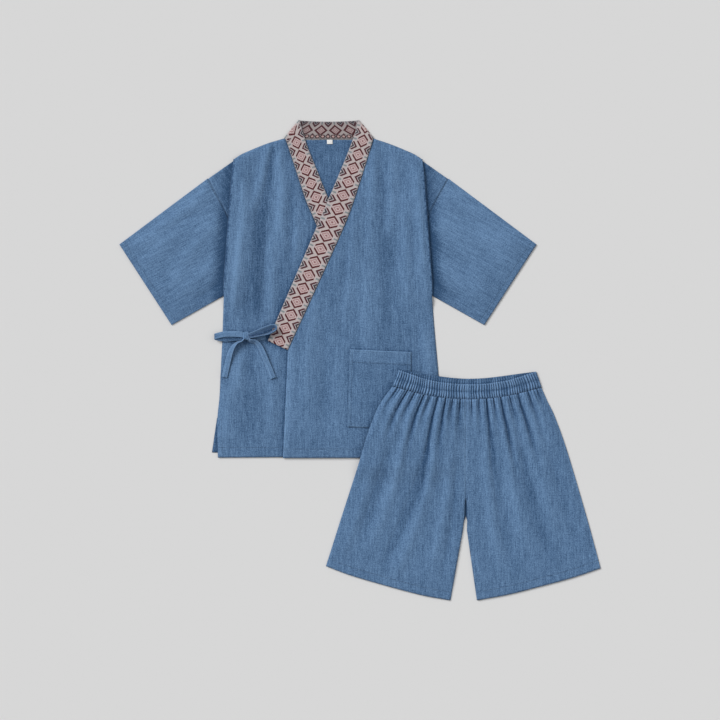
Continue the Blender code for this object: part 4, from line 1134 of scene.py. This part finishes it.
def rib_lift(share, up, most):
    """Ribs across the band: a wave of uneven pitch and height, pinched at the rows of stitches; and
    their painted shade and highlight, lighter on the ridges and at the flattened middle.
    """
    phase = RIBS * share + 0.16 * np.sin(37 * share) + 0.07 * np.sin(91 * share + 1.0)
    phase = phase + 0.12 * np.sin(2 * np.pi * up + 9 * share)
    wave = 0.5 - 0.5 * np.cos(2 * np.pi * phase)
    puff = np.abs(np.sin(np.pi * np.clip(up, 0, 1) * CHANNELS)) ** 0.6
    uneven = 0.8 + 0.2 * np.sin(53 * share + 2.0)
    flat_middle = bell(share - 0.505, 0.012)
    lift = (0.10 + 0.90 * (wave + (0.75 - wave) * flat_middle)) * uneven * (0.35 + 0.65 * puff)
    return most * lift, 9.0 * (lift - 0.48) + 1.5 * flat_middle


def waistband_grid():
    """The flattened ring: rows from the foot of the band to its top, columns all the way round."""
    rows, turns, half = 22, 9, DOUBLE_LAYER / 2
    up = np.linspace(0, 1, rows)[:, None]
    flats, lifts, painted_rib_shading = {}, {}, {}
    for layer, top, across, most in (("front", WAIST_TOP, 700, FRONT_RIB),
                                     ("back", WAIST_BACK, 420, BACK_RIB)):
        share = np.linspace(0, 1, across)
        flats[layer] = ruled(smooth(WAIST_FOOT, across), smooth(top, across), rows).swapaxes(0, 1)
        lift, painted_rib_shading[layer] = rib_lift(share, up, most)
        lifts[layer] = lift * ease(np.minimum(share, 1 - share) / 0.02)
        if layer == "front":
            scallops = 0.9 * np.sin(2 * np.pi * RIBS * share)
            flats[layer][..., 1] += scallops * (ease((up - 0.8) / 0.2) - ease((0.2 - up) / 0.2))
    height = height_of_jacket(flats["front"]) + DOUBLE_LAYER + DOUBLE / 2 + lifts["front"]
    front = raised(flats["front"], height)
    height = height_of_jacket(flats["back"]) + DOUBLE / 2 + lifts["back"] * ease((up - 0.55) / 0.2)
    back_row = raised(flats["back"], height)[:, ::-1]
    first, last = back_row[:, 0], back_row[:, -1]
    points = np.concatenate([
        front, bend(first[:, :2], (1.0, 0.0), first[:, 2], half, turns), back_row,
        bend(last[:, :2], (-1.0, 0.0), last[:, 2], half, turns, rising=True), front[:, :1],
    ], axis=1)
    # Painted shade and highlight: the front's top row is painted light, the inside of the back is painted
    # darker and darkest just above the front's edge, and the turns at both ends are painted dark.
    past = flats["back"][..., 1] - np.interp(flats["back"][..., 0], *smooth(WAIST_TOP, across).T)
    in_shade = np.exp(-np.maximum(past, 0) / 3.0) * ease((past + 10) / 8)
    front_painted_shading = painted_rib_shading["front"] + 3.0 * ease((up - 0.86) / 0.1)
    back_painted_shading = 0.6 * painted_rib_shading["back"] - 0.4 - 3.6 * in_shade
    ends = np.full((rows, turns - 2), -1.0)
    shade = np.concatenate([front_painted_shading, ends, back_painted_shading[:, ::-1], ends, front_painted_shading[:, :1]], axis=1)
    height = up * BAND_HEIGHT
    middle = np.broadcast_to(np.abs(height - BAND_HEIGHT / 2), points.shape[:-1])
    cut = paired(run_along(points[0, :, :2], 0) * CUT_STRETCH, height)
    return {"points": points, "cut": cut, "middle": middle, "fold": shade}


band_cloth = chambray("chambray_waistband", [("middle", 0.0, 1.1, "x"), ("middle", 16.0, 0.6, "x")])
waistband = cloth_piece("waistband", "shorts_waistband", [waistband_grid()], BAND_WALL, SHORTS_AT,
                        band_cloth)
